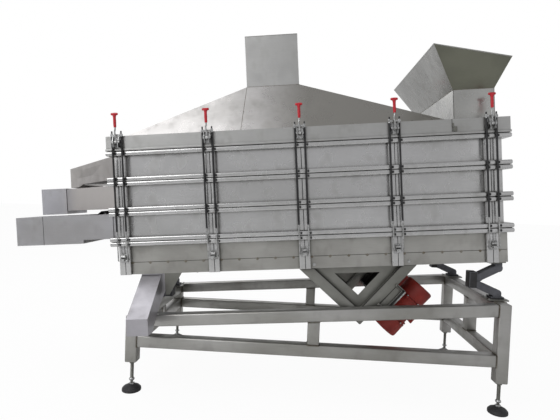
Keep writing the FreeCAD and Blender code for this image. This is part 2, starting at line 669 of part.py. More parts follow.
def build_clamps():
    brackets = []
    rods = []
    bars = []
    sleeves = []
    hooks = []
    face = "half_width + flange_reach"
    for index, side, u in clamp_places():
        line = "(%d * rod_line)" % side
        y0, y1 = across(side, face, face + " + bracket_thick")
        plate = block(u + " - bracket_half", u + " + bracket_half", y0, y1, "bracket_foot",
                      "bracket_foot + bracket_tall")
        y0, y1 = across(side, face, "cheek_reach")
        left = block(u + " - cheek_gap - cheek_thick", u + " - cheek_gap", y0, y1,
                     "bracket_foot", "pivot_height + cheek_thick + 2 * pin_radius")
        right = block(u + " + cheek_gap", u + " + cheek_gap + cheek_thick", y0, y1,
                      "bracket_foot", "pivot_height + cheek_thick + 2 * pin_radius")
        pin = bar("x", u + " - cheek_gap - cheek_thick", "%d * pivot_line" % side,
                  "pivot_height", "2 * (cheek_gap + cheek_thick)", "pin_radius")
        brackets.append(fuse(plate, left, right, pin))

        holes = []
        uprights = []
        for place in (u + " - rod_half", u + " + rod_half"):
            uprights.append(bar("z", place, line, "yoke_height", "rod_top - yoke_height",
                                "rod_radius"))
            holes.append(bar("z", place, line, "bar_height - sheet", "bar_thick + 2 * sheet",
                             "rod_radius + fit_gap"))
            tube = bar("z", place, line, "sleeve_foot", "bar_height - sleeve_foot",
                       "sleeve_radius")
            core = bar("z", place, line, "sleeve_foot - sheet",
                       "bar_height - sleeve_foot + 2 * sheet", "rod_radius + fit_gap")
            sleeves.append(cut(tube, core))
        yoke = bar("x", u + " - rod_half", line, "yoke_height", "2 * rod_half", "rod_radius")
        rods.append(fuse(*uprights, yoke))
        y0, y1 = across(side, "rod_line - bar_thick / 2", "rod_line + bar_thick / 2")
        crossbar = block(u + " - bar_half", u + " + bar_half", y0, y1, "bar_height",
                         "bar_height + bar_thick")
        bars.append(cut(crossbar, *holes))

        back = "half_width + post_deep"
        seat = "(yoke_height + rod_radius + fit_gap)"
        y0, y1 = across(side, back, back + " + hook_thick")
        plate = block(u + " - hook_half", u + " + hook_half", y0, y1,
                      seat + " + tongue_thick - hook_tall / 2",
                      seat + " + tongue_thick + hook_tall / 2")
        y0, y1 = across(side, back, "tongue_reach")
        tongue = block(u + " - tongue_half", u + " + tongue_half", y0, y1, seat,
                       seat + " + tongue_thick")
        y0, y1 = across(side, "tongue_reach - hook_thick", "tongue_reach")
        lip = block(u + " - tongue_half", u + " + tongue_half", y0, y1,
                    seat + " - tongue_lip", seat)
        hooks.append(fuse(plate, tongue, lip))
    name_node("clamp_brackets", group(brackets), "deck")
    name_node("clamp_rods", group(rods), "deck")
    name_node("clamp_crossbars", group(bars), "deck")
    name_node("rod_sleeves", group(sleeves), "deck")
    name_node("clamp_hooks", group(hooks), "deck")


def build_handles():
    for index, side, u in clamp_places():
        line = "(%d * pivot_line)" % side
        y0, y1 = across(side, "pivot_line - shank_thick / 2", "pivot_line + shank_thick / 2")
        shank = block(u + " - shank_half", u + " + shank_half", y0, y1,
                      "pivot_height - shank_tail", "shank_top")
        grip = bar("z", u, line, "grip_foot", "grip_top - grip_foot", "grip_radius")
        y0, y1 = across(side, "pivot_line - cross_deep / 2", "pivot_line + cross_deep / 2")
        head = block(u + " - cross_half", u + " + cross_half", y0, y1, "grip_top",
                     "grip_top + cross_thick")
        hole = bar("x", u + " - cheek_gap", line, "pivot_height", "2 * cheek_gap",
                   "pin_radius + fit_gap")
        place = "front" if side < 0 else "rear"
        name_node("%s_handle_%d" % (place, index + 1), cut(fuse(shank, grip, head), hole),
                  "deck")


build_frame()
build_mounts()
build_base()
build_trays()
build_lid()
build_hood()
build_hopper()
build_outlets()
build_cleanout()
build_drive()
build_posts()
build_clamps()
build_handles()
doc.recompute()

for piece in doc.Objects:
    for state in ("Invalid", "Error"):
        if state in piece.State:
            raise RuntimeError("%s is %s" % (piece.Label, state))
for name, piece in nodes.items():
    if piece.Shape.isNull() or not piece.Shape.isValid():
        raise RuntimeError("%s has no valid shape" % name)

os.makedirs("parts", exist_ok=True)
for name, piece in nodes.items():
    piece.Shape.exportStep("parts/%s.step" % name)
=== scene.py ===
"""Finishes and small pieces of an inclined vibrating screen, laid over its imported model."""

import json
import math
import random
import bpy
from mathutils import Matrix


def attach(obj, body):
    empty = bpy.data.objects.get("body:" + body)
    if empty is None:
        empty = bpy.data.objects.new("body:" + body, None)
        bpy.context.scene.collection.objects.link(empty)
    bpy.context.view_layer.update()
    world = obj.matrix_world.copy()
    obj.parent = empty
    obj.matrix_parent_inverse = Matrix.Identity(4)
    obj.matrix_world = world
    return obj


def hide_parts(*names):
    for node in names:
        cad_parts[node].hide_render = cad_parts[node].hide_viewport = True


bl_info = {
    "name": "Vibrating screen finishes",
    "version": (1, 0, 0),
    "blender": (4, 5, 0),
    "location": "3D View > Sidebar > Vibrating screen",
    "description": "Gives a packed vibrating screen its finishes, fittings, welds and studio",
    "category": "Object",
}

import bmesh
import bpy
from mathutils import Matrix, Vector

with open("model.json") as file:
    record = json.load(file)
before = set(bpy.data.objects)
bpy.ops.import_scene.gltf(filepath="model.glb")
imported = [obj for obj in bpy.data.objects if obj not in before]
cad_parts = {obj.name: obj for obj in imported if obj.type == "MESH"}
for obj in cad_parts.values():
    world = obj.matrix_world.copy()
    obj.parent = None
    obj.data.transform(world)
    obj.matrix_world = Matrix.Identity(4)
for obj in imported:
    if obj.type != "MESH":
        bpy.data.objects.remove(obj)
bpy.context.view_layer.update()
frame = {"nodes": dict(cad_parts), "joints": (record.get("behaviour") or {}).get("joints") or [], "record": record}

MM = 0.001
MACHINE = "machine"
SIDES = (("front", -1), ("rear", 1))
CLAMPS = 5

# Places in the deck's own frame, in millimetres: along, across and up from its underside.
FIRST_CLAMP = -1316
PIVOT_LINE = 555
PIVOT_HEIGHT = 915
WALL_LEFT = 1358
WALL_RIGHT = 1262
BASE_RIGHT = 1282
HALF_WIDTH = 480
FLANGE_REACH = 42
FLANGE_THICK = 28
BASE_HEIGHT = 230
GASKET = 4
TRAY_HEIGHT = 204
LID_FOOT = BASE_HEIGHT + 4 * GASKET + 3 * TRAY_HEIGHT
LID_TOP = LID_FOOT + 102
ROD_LINE = 537
ROD_HALF = 32
BAR_HEIGHT = 960
YOKE_HEIGHT = 105
POST_DEEP = 25
CHIMNEY_AT = -255
CHIMNEY_HALF = 195
CHIMNEY_HEIGHT = 375
HOOD_LEFT = -1322
HOOD_RIGHT = 955
HOOD_HALF = 440
HOOD_TOP = LID_TOP + 367
FLOOR_SEAM = 84
STRAP_AT = 930

# The feed hopper: a straight neck on the lid, and a flare up to a slanted rim.
NECK_TOP = LID_TOP + 200
NECK_LEFT = 960
NECK_RIGHT = 1230
NECK_HALF = 470
RIM_LEFT = 804
RIM_RIGHT = 1312.8
RIM_HALF_LEFT = 600
RIM_HALF_RIGHT = 554.8
RIM_TOP_LEFT = NECK_TOP + 273
RIM_TOP_RIGHT = NECK_TOP + 178
HEM = 3

# The outlets: each starts this far above the foot of its tray and runs out to the left.
OUTLET_RISE = 20
LOWER_FOOT = BASE_HEIGHT + GASKET + OUTLET_RISE
LOWER_TOP = LOWER_FOOT + 173
LOWER_FRONT = -474.2
LOWER_END = -1904
SUMP_START = -1619
LOWER_START = -1401
SUMP_DEEP = 26
DUCT_HEIGHT = 166
UPPER_FOOT = LOWER_FOOT + 2 * (GASKET + TRAY_HEIGHT)
UPPER_END = -2040
UPPER_MOUTH = -1905
UPPER_NEAR = 170
UPPER_FAR = 470
UPPER_FALL = 24

# A rocker mount, up from its plate and along from its eyes.
LOWER_EYE = 37
LOWER_KNEE = 89
UPPER_KNEE = 142
UPPER_EYE = 210
MOUNT_HEIGHT = 245
KNEE_REACH = 125
KNEE_NEAR = 138
KNEE_FAR = 190
EYE = [(0, 17), (1, 24), (3, 27), (67, 27), (69, 24), (70, 17)]
PIN = [(0, 6), (1, 8), (71, 8), (72, 6)]

# The drive's frame stands at the lower corner of the V below the deck, turned 45 degrees.
DRIVE_AT = 286
DRIVE_HALF = 400
ARM_WIDE = 75
MOTOR_AT = 280
MOTOR_LINE = 235
MOTOR_DROP = 196
MOTOR_HALF = 88
SEAT_FACE = -62
SEAT_HALF = 100
SEAT_THICK = 12


def joint_place(name):
    found = [joint for joint in frame["joints"] if joint["name"] == name]
    return Vector(found[0]["pos_m"])


FIRST_PIVOT = joint_place("front_handle_1_swing")
LAST_PIVOT = joint_place("front_handle_%d_swing" % CLAMPS)
SPACING = (LAST_PIVOT - FIRST_PIVOT).length / MM / (CLAMPS - 1)


def deck_matrix():
    """The deck's frame in metres, from the pivots of the first and last handles."""
    first = FIRST_PIVOT
    along = (LAST_PIVOT - first).normalized()
    across = Vector((0, 1, 0))
    up = along.cross(across)
    corner = first - along * FIRST_CLAMP * MM + across * PIVOT_LINE * MM
    corner = corner - up * PIVOT_HEIGHT * MM
    matrix = Matrix((along, across, up)).transposed().to_4x4()
    matrix.translation = corner
    return matrix


DECK = deck_matrix()
DRIVE = DECK @ Matrix.Translation(Vector((DRIVE_AT, 0, -DRIVE_HALF)) * MM)
DRIVE = DRIVE @ Matrix.Rotation(-math.radians(45), 4, "Y")
LEVEL = Matrix.Identity(4)
DECK_TURN = DECK.to_3x3()


def clamp_places():
    """Each clamp's side, number and place along the deck."""
    for side, sign in SIDES:
        for index in range(CLAMPS):
            yield side, sign, index, FIRST_CLAMP + index * SPACING


# Sizes and colours that a user would change

def length(name, text, value):
    return bpy.props.FloatProperty(name=name, description=text, default=value * MM,
                                   unit="LENGTH", precision=4)


def tint(name, text, code):
    return bpy.props.FloatVectorProperty(name=name, description=text, default=paint(code)[:3],
                                         subtype="COLOR", size=3, min=0, max=1)


def paint(code):
    """A linear colour from an sRGB hex value."""
    parts = [int(code[i:i + 2], 16) / 255 for i in (1, 3, 5)]
    lines = [c / 12.92 if c <= 0.04045 else ((c + 0.055) / 1.055) ** 2.4 for c in parts]
    return (*lines, 1.0)


class ScreenSizes(bpy.types.PropertyGroup):
    bead_bulge: length("Flange bulge", "How far a folded flange edge stands proud", 5)
    tube_corner: length("Tube corner", "Corner radius of the square frame tube", 8)
    cast_corner: length("Cast corner", "Edge radius of the rubber mounts", 4)
    grip_radius: length("Grip radius", "Radius of a handle's dipped grip", 10)
    stitch_pitch: length("Stitch pitch", "Spacing of the stitch welds on the base", 125)
    weld_radius: length("Weld radius", "Half width of a weld bead", 3.5)
    thread_pitch: length("Thread pitch", "Pitch of the spindle threads, drawn coarse", 5)
    bolt_radius: length("Bolt radius", "Corner radius of the flange bolts' heads", 6)


class ScreenColours(bpy.types.PropertyGroup):
    steel: tint("Steel", "Brushed stainless sheet", "#C6C6C6")
    steel_shade: tint("Steel shade", "Cloudy darker areas of the sheet", "#B6B6B5")
    hood: tint("Hood", "Bright rolled sheet of the hood", "#CBC9C8")
    frame: tint("Frame", "Welded frame tube", "#B4B3B1")
    motor: tint("Motor", "Red enamel of the motors", "#9C3026")
    grip: tint("Grip", "Red dipped vinyl of the handles", "#C4202E")


# Materials

def add(tree, kind, inputs=None, **settings):
    """Adds a node, sets it up and links or sets its inputs."""
    node = tree.nodes.new(kind)
    for name, value in settings.items():
        setattr(node, name, value)
    for name, value in (inputs or {}).items():
        socket = node.inputs[name]
        if isinstance(value, bpy.types.NodeSocket):
            tree.links.new(value, socket)
        else:
            socket.default_value = value
    return node


FINISHES = {}
DECK_SLOPE = math.radians(4.65)


def start_material(name):
    """An empty node tree under the name, and the socket of its object coordinates."""
    material = bpy.data.materials.new(name)
    material.use_nodes = True
    tree = material.node_tree
    tree.nodes.clear()
    place = add(tree, "ShaderNodeTexCoord").outputs["Object"]
    FINISHES[name] = material
    return tree, place


def cloud(tree, place, size_mm, stretch=(1, 1, 1), detail=3, turn=0.0):
    """Noise whose spots are about size_mm across, stretched along some axes."""
    scale = [1 / (size_mm * MM * s) for s in stretch]
    mapped = add(tree, "ShaderNodeMapping", {"Vector": place, "Scale": scale,
                                             "Rotation": (0, turn, 0)})
    noise = add(tree, "ShaderNodeTexNoise", {"Vector": mapped.outputs[0], "Scale": 1.0,
                                             "Detail": detail, "Roughness": 0.55})
    return noise.outputs[0]


def spread(tree, value, low, high, start=0.35, end=0.65):
    """Maps a noise value onto a range."""
    node = add(tree, "ShaderNodeMapRange", {"Value": value, "From Min": start,
                                            "From Max": end, "To Min": low, "To Max": high})
    return node.outputs[0]


def blend_colours(tree, amount, first, second, how="MIX"):
    node = add(tree, "ShaderNodeMix", data_type="RGBA", blend_type=how)
    for index, value in ((0, amount), (6, first), (7, second)):
        if isinstance(value, bpy.types.NodeSocket):
            tree.links.new(value, node.inputs[index])
        else:
            node.inputs[index].default_value = value
    return node.outputs[2]


def crevice(tree, reach_mm):
    """1 in open places and lower where faces meet within the reach."""
    node = add(tree, "ShaderNodeAmbientOcclusion", {"Distance": reach_mm * MM}, samples=6)
    return node.outputs["AO"]


def close_material(tree, colour, roughness, bump=None, depth_mm=0.1, **inputs):
    links = {"Base Color": colour, "Roughness": roughness}
    links.update(inputs)
    if bump is not None:
        lift = add(tree, "ShaderNodeBump", {"Height": bump, "Strength": 1.0,
                                            "Distance": depth_mm * MM})
        links["Normal"] = lift.outputs[0]
    shader = add(tree, "ShaderNodeBsdfPrincipled", links)
    out = add(tree, "ShaderNodeOutputMaterial")
    tree.links.new(shader.outputs[0], out.inputs["Surface"])
    return shader


def stainless(name, light, shade, roughness, grain_mm, wave_mm, wave_depth_mm, painted_shade_strength,
              turn=None):
    """Stainless sheet or tube: fine brushed grain along the machine, slow cloudy changes
    of tone, slight oil-canning that bends reflections, and painted shade where faces meet.
    Along the machine, turn says from where to where and to which tone the sheet blends;
    on the hood this tone is painted shade where the sheet turns away from the light."""
    tree, place = start_material(name)
    slope = DECK_SLOPE
    brushed = cloud(tree, place, grain_mm, (60, 1, 1), 2, slope)
    tone = cloud(tree, place, 420, (1.6, 1, 1), 4, slope)
    smudge = cloud(tree, place, 95, (1, 1, 1.4), 2)
    wave = cloud(tree, place, wave_mm, (1.3, 1, 1), 1, slope)
    colour = blend_colours(tree, spread(tree, tone, 0, 1), light, shade)
    stain = spread(tree, smudge, 0, 0.3, 0.55, 0.8)
    colour = blend_colours(tree, stain, colour, paint("#77756E"))
    streak = spread(tree, brushed, 0.0, 0.12)
    colour = blend_colours(tree, streak, colour, paint("#7F7F7B"))
    # turn blends to its tone between two places along the machine; on the hood that tone is painted shade.
    if turn is not None:
        start, end, turned_tone = turn
        parts = add(tree, "ShaderNodeSeparateXYZ", {0: place})
        far = spread(tree, parts.outputs[0], 0, 1, start * MM, end * MM)
        colour = blend_colours(tree, far, colour, paint(turned_tone))
    # Painted shade: the sheet is darkened where faces meet.
    corner = spread(tree, crevice(tree, 20), painted_shade_strength, 0.0, 0.25, 0.9)
    colour = blend_colours(tree, corner, colour, paint("#3A372F"))
    rough = spread(tree, smudge, roughness - 0.05, roughness + 0.09)
    height = add(tree, "ShaderNodeMath", {0: brushed, 1: 0.03}, operation="MULTIPLY")
    height = add(tree, "ShaderNodeMath", {0: height.outputs[0], 1: wave}, operation="ADD")
    close_material(tree, colour, rough, height.outputs[0], wave_depth_mm, Metallic=0.88)


def weld_metal():
    """Ground weld metal: darker and rougher than the sheet, with straw and brown heat tint."""
    tree, place = start_material("stainless_weld")
    heat = cloud(tree, place, 24)
    colour = blend_colours(tree, spread(tree, heat, 0, 1), paint("#8D8A82"), paint("#6B6253"))
    close_material(tree, colour, 0.5, heat, 0.4, Metallic=0.8)


def zinc_plate():
    """Bright zinc-plated clamp parts: glossy, bluish, dulled by handling."""
    tree, place = start_material("zinc_plated_steel")
    wear = cloud(tree, place, 9, detail=4)
    colour = blend_colours(tree, spread(tree, wear, 0, 1), paint("#C9CACA"), paint("#8F8F8D"))
    # Painted shade: the zinc is darkened where faces meet.
    corner = spread(tree, crevice(tree, 12), 0.75, 0.0, 0.2, 0.8)
    colour = blend_colours(tree, corner, colour, paint("#2B2A27"))
    close_material(tree, colour, spread(tree, wear, 0.22, 0.42), wear, 0.15, Metallic=0.95)


def cast_enamel(name, light, shade, roughness, edge):
    """Enamel over a casting: a soft orange-peel skin, with painted shade where faces meet."""
    tree, place = start_material(name)
    peel = cloud(tree, place, 7, detail=4)
    tone = cloud(tree, place, 90, detail=3)
    colour = blend_colours(tree, spread(tree, tone, 0, 1), light, shade)
    # Painted shade: the edge colour darkens the enamel where faces meet.
    corner = spread(tree, crevice(tree, 22), 0.7, 0.0, 0.2, 0.8)
    colour = blend_colours(tree, corner, colour, edge)
    rough = spread(tree, peel, roughness - 0.06, roughness + 0.08)
    close_material(tree, colour, rough, peel, 0.5, IOR=1.5)


def rubber(name, light, shade, roughness):
    """Moulded black rubber: matt, slightly greyed by dust."""
    tree, place = start_material(name)
    dust = cloud(tree, place, 30, detail=5)
    colour = blend_colours(tree, spread(tree, dust, 0, 1), light, shade)
    close_material(tree, colour, roughness, dust, 0.3, IOR=1.52)


def dipped_vinyl(light):
    """Dipped red vinyl: a glossy skin, softly uneven."""
    tree, place = start_material("dipped_vinyl")
    skin = cloud(tree, place, 12, detail=3)
    colour = blend_colours(tree, spread(tree, skin, 0, 1), light, paint("#A91824"))
    close_material(tree, colour, spread(tree, skin, 0.28, 0.42), skin, 0.25, IOR=1.49)


def screen_cloth():
    """Woven stainless cloth, its 6 mm weave drawn as two crossed waves."""
    tree, place = start_material("woven_stainless_cloth")
    waves = []
    for direction in ("X", "Y"):
        mapped = add(tree, "ShaderNodeMapping", {"Vector": place, "Scale": (52, 52, 52)})
        wave = add(tree, "ShaderNodeTexWave", {"Vector": mapped.outputs[0], "Scale": 1.0},
                   bands_direction=direction)
        waves.append(wave.outputs["Fac"])
    woven = add(tree, "ShaderNodeMath", {0: waves[0], 1: waves[1]}, operation="MAXIMUM")
    shade = spread(tree, woven.outputs[0], 0, 1, 0.3, 0.9)
    colour = blend_colours(tree, shade, paint("#2E2E2C"), paint("#A3A39F"))
    close_material(tree, colour, 0.45, woven.outputs[0], 0.6, Metallic=0.8)


# How much of the floor's own tone the camera sees as plain white. Shadows keep the rest.
FLOOR_LIFT = 0.95


def pale_floor():
    """A matt studio floor, faintly mottled, that the camera sees close to white."""
    tree, place = start_material("studio_floor")
    mottle = cloud(tree, place, 900, detail=2)
    colour = blend_colours(tree, spread(tree, mottle, 0, 1), paint("#F7F7F6"), paint("#F3F3F2"))
    matt = close_material(tree, colour, 0.85, mottle, 0.2)
    ray = add(tree, "ShaderNodeLightPath")
    seen = add(tree, "ShaderNodeMath", {0: ray.outputs["Is Camera Ray"], 1: FLOOR_LIFT},
               operation="MULTIPLY")
    white = add(tree, "ShaderNodeEmission", {"Color": (1, 1, 1, 1), "Strength": 1.0})
    mixed = add(tree, "ShaderNodeMixShader", {0: seen.outputs[0], 1: matt.outputs[0],
                                              2: white.outputs[0]})
    out = [node for node in tree.nodes if node.bl_idname == "ShaderNodeOutputMaterial"][0]
    tree.links.new(mixed.outputs[0], out.inputs["Surface"])


# Stainless finishes that no size or colour of the panel changes: the two tones of each,
# then its roughness, grain, wave length and wave depth in millimetres, and its painted shade where faces meet.
STAINLESS = (
    ("brushed_stainless_lid", "#B4B4B3", "#A9A9A7", 0.42, 1.6, 620, 1.4, 0.6),
    ("rolled_stainless_hopper", "#B9B9B6", "#A3A3A0", 0.24, 2.2, 380, 0.7, 0.4),
    # The flares' dark olive tones are painted shade and a painted reflection of a dark floor.
    ("painted_shade_stainless_flare", "#76776A", "#616257", 0.34, 2.2, 380, 2.0, 0.4),
    ("folded_stainless_chute", "#B6B6BA", "#A3A2A3", 0.40, 1.8, 420, 1.6, 0.5),
    # The clean-out's lighter tones are painted light, a lit copy of the chute's sheet.
    ("painted_light_stainless_cleanout", "#BFBDC3", "#A5A3A8", 0.36, 1.8, 300, 1.6, 0.3),
    ("warm_stainless_duct", "#B6B6BC", "#A9A8AA", 0.38, 1.8, 420, 1.6, 0.5,
     (-1560, -1400, "#BFBBB8")),
    ("creased_stainless_duct", "#B4B0AC", "#A29E9B", 0.36, 1.8, 240, 2.0, 0.4),
    ("brushed_stainless_chimney", "#B9B9B8", "#ADADAB", 0.38, 1.8, 420, 1.2, 0.4),
    ("grained_stainless_base", "#B1B0AC", "#94938E", 0.42, 1.6, 360, 1.6, 0.8),
    ("stainless_plate", "#8C8C87", "#74746E", 0.44, 1.4, 240, 0.8, 0.7),
)


def make_materials(colours):
    stainless("brushed_stainless_wall", (*colours.steel, 1), (*colours.steel_shade, 1), 0.23,
              1.6, 520, 1.2, 0.75)
    # The hood's turn darkens its far part with painted shade, where the sheet turns away from the light.
    stainless("rolled_stainless_hood", (*colours.hood, 1), paint("#B2B0AE"), 0.30, 2.2, 300,
              2.4, 0.35, (-40, 320, "#8F8D88"))
    stainless("welded_stainless_tube", (*colours.frame, 1), paint("#989792"), 0.40, 1.4, 260,
              0.8, 0.7)
    for name, light, shade, *rest in STAINLESS:
        stainless(name, paint(light), paint(shade), *rest)
    weld_metal()
    zinc_plate()
    cast_enamel("red_cast_enamel", (*colours.motor, 1), paint("#84261E"), 0.5,
                paint("#4A1915"))
    # Dark enamel of the motor seat, also used as painted shadow in the gaps beside the V arms.
    cast_enamel("dark_enamel_and_painted_shadow", paint("#201F1C"), paint("#171612"), 0.6, paint("#0F0E0B"))
    cast_enamel("dark_mount_coating", paint("#5A5B60"), paint("#47484C"), 0.6,
                paint("#1B1B1C"))
    rubber("black_sponge_rubber", paint("#2B2B29"), paint("#3A3934"), 0.85)
    rubber("black_moulded_rubber", paint("#1E1E1F"), paint("#2B2B2C"), 0.6)
    rubber("black_polyethylene_tube", paint("#101011"), paint("#1B1B1D"), 0.35)
    dipped_vinyl((*colours.grip, 1))
    screen_cloth()
    pale_floor()


SLOT_FINISH = {
    "frame_tube": "welded_stainless_tube", "plate_steel": "stainless_plate",
    "tray_sheet": "brushed_stainless_wall", "lid_sheet": "brushed_stainless_lid",
    "hood_sheet": "rolled_stainless_hood", "hopper_sheet": "rolled_stainless_hopper",
    "chute_sheet": "folded_stainless_chute", "screen_mesh": "woven_stainless_cloth",
    "gasket_rubber": "black_sponge_rubber", "feet": "black_moulded_rubber",
    "mount_iron": "dark_mount_coating", "seat_paint": "dark_enamel_and_painted_shadow",
    "motor_paint": "red_cast_enamel", "clamp_zinc": "zinc_plated_steel",
    "sleeve_black": "black_polyethylene_tube", "handle_red": "dipped_vinyl",
}

# Nodes whose sheet looks unlike the rest of their slot.
NODE_FINISH = {
    "cleanout_chute": "painted_light_stainless_cleanout", "middle_chute": "warm_stainless_duct",
    "chimney": "brushed_stainless_chimney", "base_tray": "grained_stainless_base",
}


# Shapes

def circle(centre, axis, radius, sides, helper):
    """Points round an axis, the first of them square to the helper."""
    first = axis.cross(helper).normalized()
    second = axis.cross(first)
    angles = [2 * math.pi * i / sides for i in range(sides)]
    return [centre + (first * math.cos(a) + second * math.sin(a)) * radius for a in angles]


class Shape:
    """Closed solids gathered in one mesh, in millimetres in a local frame."""

    def __init__(self):
        self.mesh = bmesh.new()

    def skin(self, rings, finish=0, closed=True):
        """Faces between rings of points, with a face over each end or joined end to start."""
        rows = [[self.mesh.verts.new(Vector(p) * MM) for p in ring] for ring in rings]
        count = len(rows[0])
        pairs = list(zip(rows, rows[1:]))
        if not closed:
            pairs.append((rows[-1], rows[0]))
        faces = []
        for here, there in pairs:
            for i in range(count):
                j = (i + 1) % count
                faces.append(self.mesh.faces.new((here[i], here[j], there[j], there[i])))
        if closed:
            faces.append(self.mesh.faces.new(rows[0][::-1]))
            faces.append(self.mesh.faces.new(rows[-1]))
        for face in faces:
            face.material_index = finish
        return faces

    def block(self, low, high, finish=0, edge=0.0):
        (x0, y0, z0), (x1, y1, z1) = low, high
        rings = [[(x0, y0, z), (x1, y0, z), (x1, y1, z), (x0, y1, z)] for z in (z0, z1)]
        faces = self.skin(rings, finish)
        if edge:
            edges = list({e for face in faces for e in face.edges})
            bmesh.ops.bevel(self.mesh, geom=edges, offset=edge * MM, segments=3,
                            affect="EDGES", profile=0.6, clamp_overlap=True)

    def side_block(self, sign, along, out, up, finish=0, edge=0.0):
        """A block on one side of the machine, between two distances from its middle."""
        near, far = sorted(sign * place for place in out)
        self.block((along[0], near, up[0]), (along[1], far, up[1]), finish, edge)

    def turned(self, start, end, outline, sides=24, finish=0):
        """A turned solid: outline holds (distance from start, radius) pairs."""
        start = Vector(start)
        axis = (Vector(end) - start).normalized()
        helper = Vector((0, 0, 1)) if abs(axis.z) < 0.9 else Vector((1, 0, 0))
        self.skin([circle(start + axis * along, axis, radius, sides, helper)
                   for along, radius in outline], finish)

    def rod(self, start, end, radius, sides=16, finish=0, edge=0.6):
        reach = (Vector(end) - Vector(start)).length
        outline = [(0, radius - edge), (edge, radius), (reach - edge, radius),
                   (reach, radius - edge)]
        self.turned(start, end, outline, sides, finish)

    def hexagon(self, start, end, radius, finish=0):
        reach = (Vector(end) - Vector(start)).length
        outline = [(0, radius), (reach * 0.8, radius), (reach, radius * 0.84)]
        self.turned(start, end, outline, 6, finish)

    def pipe(self, points, radius, sides=8, finish=0):
        """A round bar through points, with mitred bends."""
        points = [Vector(p) for p in points]
        rings = []
        for i, point in enumerate(points):
            axis = (points[min(i + 1, len(points) - 1)] - points[max(i - 1, 0)]).normalized()
            helper = Vector((0, 1, 0)) if abs(axis.y) < 0.9 else Vector((1, 0, 0))
            rings.append(circle(point, axis, radius, sides, helper))
        self.skin(rings, finish)

    def plate(self, outline, axis, low, high, finish=0):
        """A flat plate with an upright outline, thick along the x or the y axis."""
        self.skin([[(place, a, b) if axis == "x" else (a, place, b) for a, b in outline]
                   for place in (low, high)], finish)

    def finish(self, name, matrix, finishes, slot, body=MACHINE, smooth=35):
        """Turns the solids into a named piece that rides on a body."""
        bmesh.ops.recalc_face_normals(self.mesh, faces=self.mesh.faces)
        mesh = bpy.data.meshes.new(name)
        self.mesh.to_mesh(mesh)
        self.mesh.free()
        mesh.transform(matrix)
        return place_piece(name, mesh, finishes, body, smooth)


def place_piece(name, mesh, finishes, body=MACHINE, smooth=35):
    """An object at the origin for a finished mesh, with its materials and body."""
    if not len(mesh.polygons):
        raise RuntimeError("%s has no faces" % name)
    for finish in finishes:
        mesh.materials.append(FINISHES[finish])
    mesh.shade_smooth()
    mesh.set_sharp_from_angle(angle=math.radians(smooth))
    piece = bpy.data.objects.new(name, mesh)
    bpy.context.scene.collection.objects.link(piece)
    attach(piece, body)
    return piece


def merged(node):
    """A copy of a CAD node's mesh with its loose triangles joined."""
    solid = bmesh.new()
    solid.from_mesh(frame["nodes"][node].data)
    bmesh.ops.remove_doubles(solid, verts=solid.verts, dist=0.02 * MM)
    return solid


def islands(node):
    """The corners of each separate solid in a CAD node."""
    solid = merged(node)
    seen = set()
    found = []
    for start in solid.verts:
        if start in seen:
            continue
        seen.add(start)
        group = [start]
        for vert in group:
            for edge in vert.link_edges:
                there = edge.other_vert(vert)
                if there not in seen:
                    seen.add(there)
                    group.append(there)
        found.append([vert.co.copy() for vert in group])
    solid.free()
    return found


def spans(corners):
    """The least and the greatest of the corners along each axis."""
    return [(min(p[k] for p in corners), max(p[k] for p in corners)) for k in range(3)]


def softened(node, edge, name, finish):
    """A copy of a CAD node with its sharp edges rounded, standing for the node."""
    solid = merged(node)
    bmesh.ops.dissolve_limit(solid, angle_limit=math.radians(1), verts=solid.verts,
                             edges=solid.edges)
    sharp = [e for e in solid.edges
             if len(e.link_faces) == 2 and e.calc_face_angle(0) > math.radians(40)]
    bmesh.ops.bevel(solid, geom=sharp, offset=edge, segments=2, affect="EDGES",
                    profile=0.5, clamp_overlap=True)
    for face in solid.faces:
        face.material_index = 0
    mesh = bpy.data.meshes.new(name)
    solid.to_mesh(mesh)
    solid.free()
    piece = place_piece(name, mesh, [finish], MACHINE, 30)
    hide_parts(node)
    return piece


# Geometry Nodes

def new_tree(name, floats):
    """A node tree with a geometry in and out, named number inputs and a material input."""
    tree = bpy.data.node_groups.new(name, "GeometryNodeTree")
    tree.interface.new_socket("Geometry", in_out="INPUT", socket_type="NodeSocketGeometry")
    for label, value in floats.items():
        socket = tree.interface.new_socket(label, in_out="INPUT",
                                           socket_type="NodeSocketFloat")
        socket.default_value = value
    tree.interface.new_socket("Finish", in_out="INPUT", socket_type="NodeSocketMaterial")
    tree.interface.new_socket("Geometry", in_out="OUTPUT", socket_type="NodeSocketGeometry")
    return tree, add(tree, "NodeGroupInput"), add(tree, "NodeGroupOutput")


def close_tree(tree, instances, given, out):
    """Makes the instances real and gives them the finish."""
    real = add(tree, "GeometryNodeRealizeInstances", {0: instances})
    coat = add(tree, "GeometryNodeSetMaterial", {"Geometry": real.outputs[0],
                                                 "Material": given.outputs["Finish"]})
    tree.links.new(coat.outputs[0], out.inputs[0])
    return tree


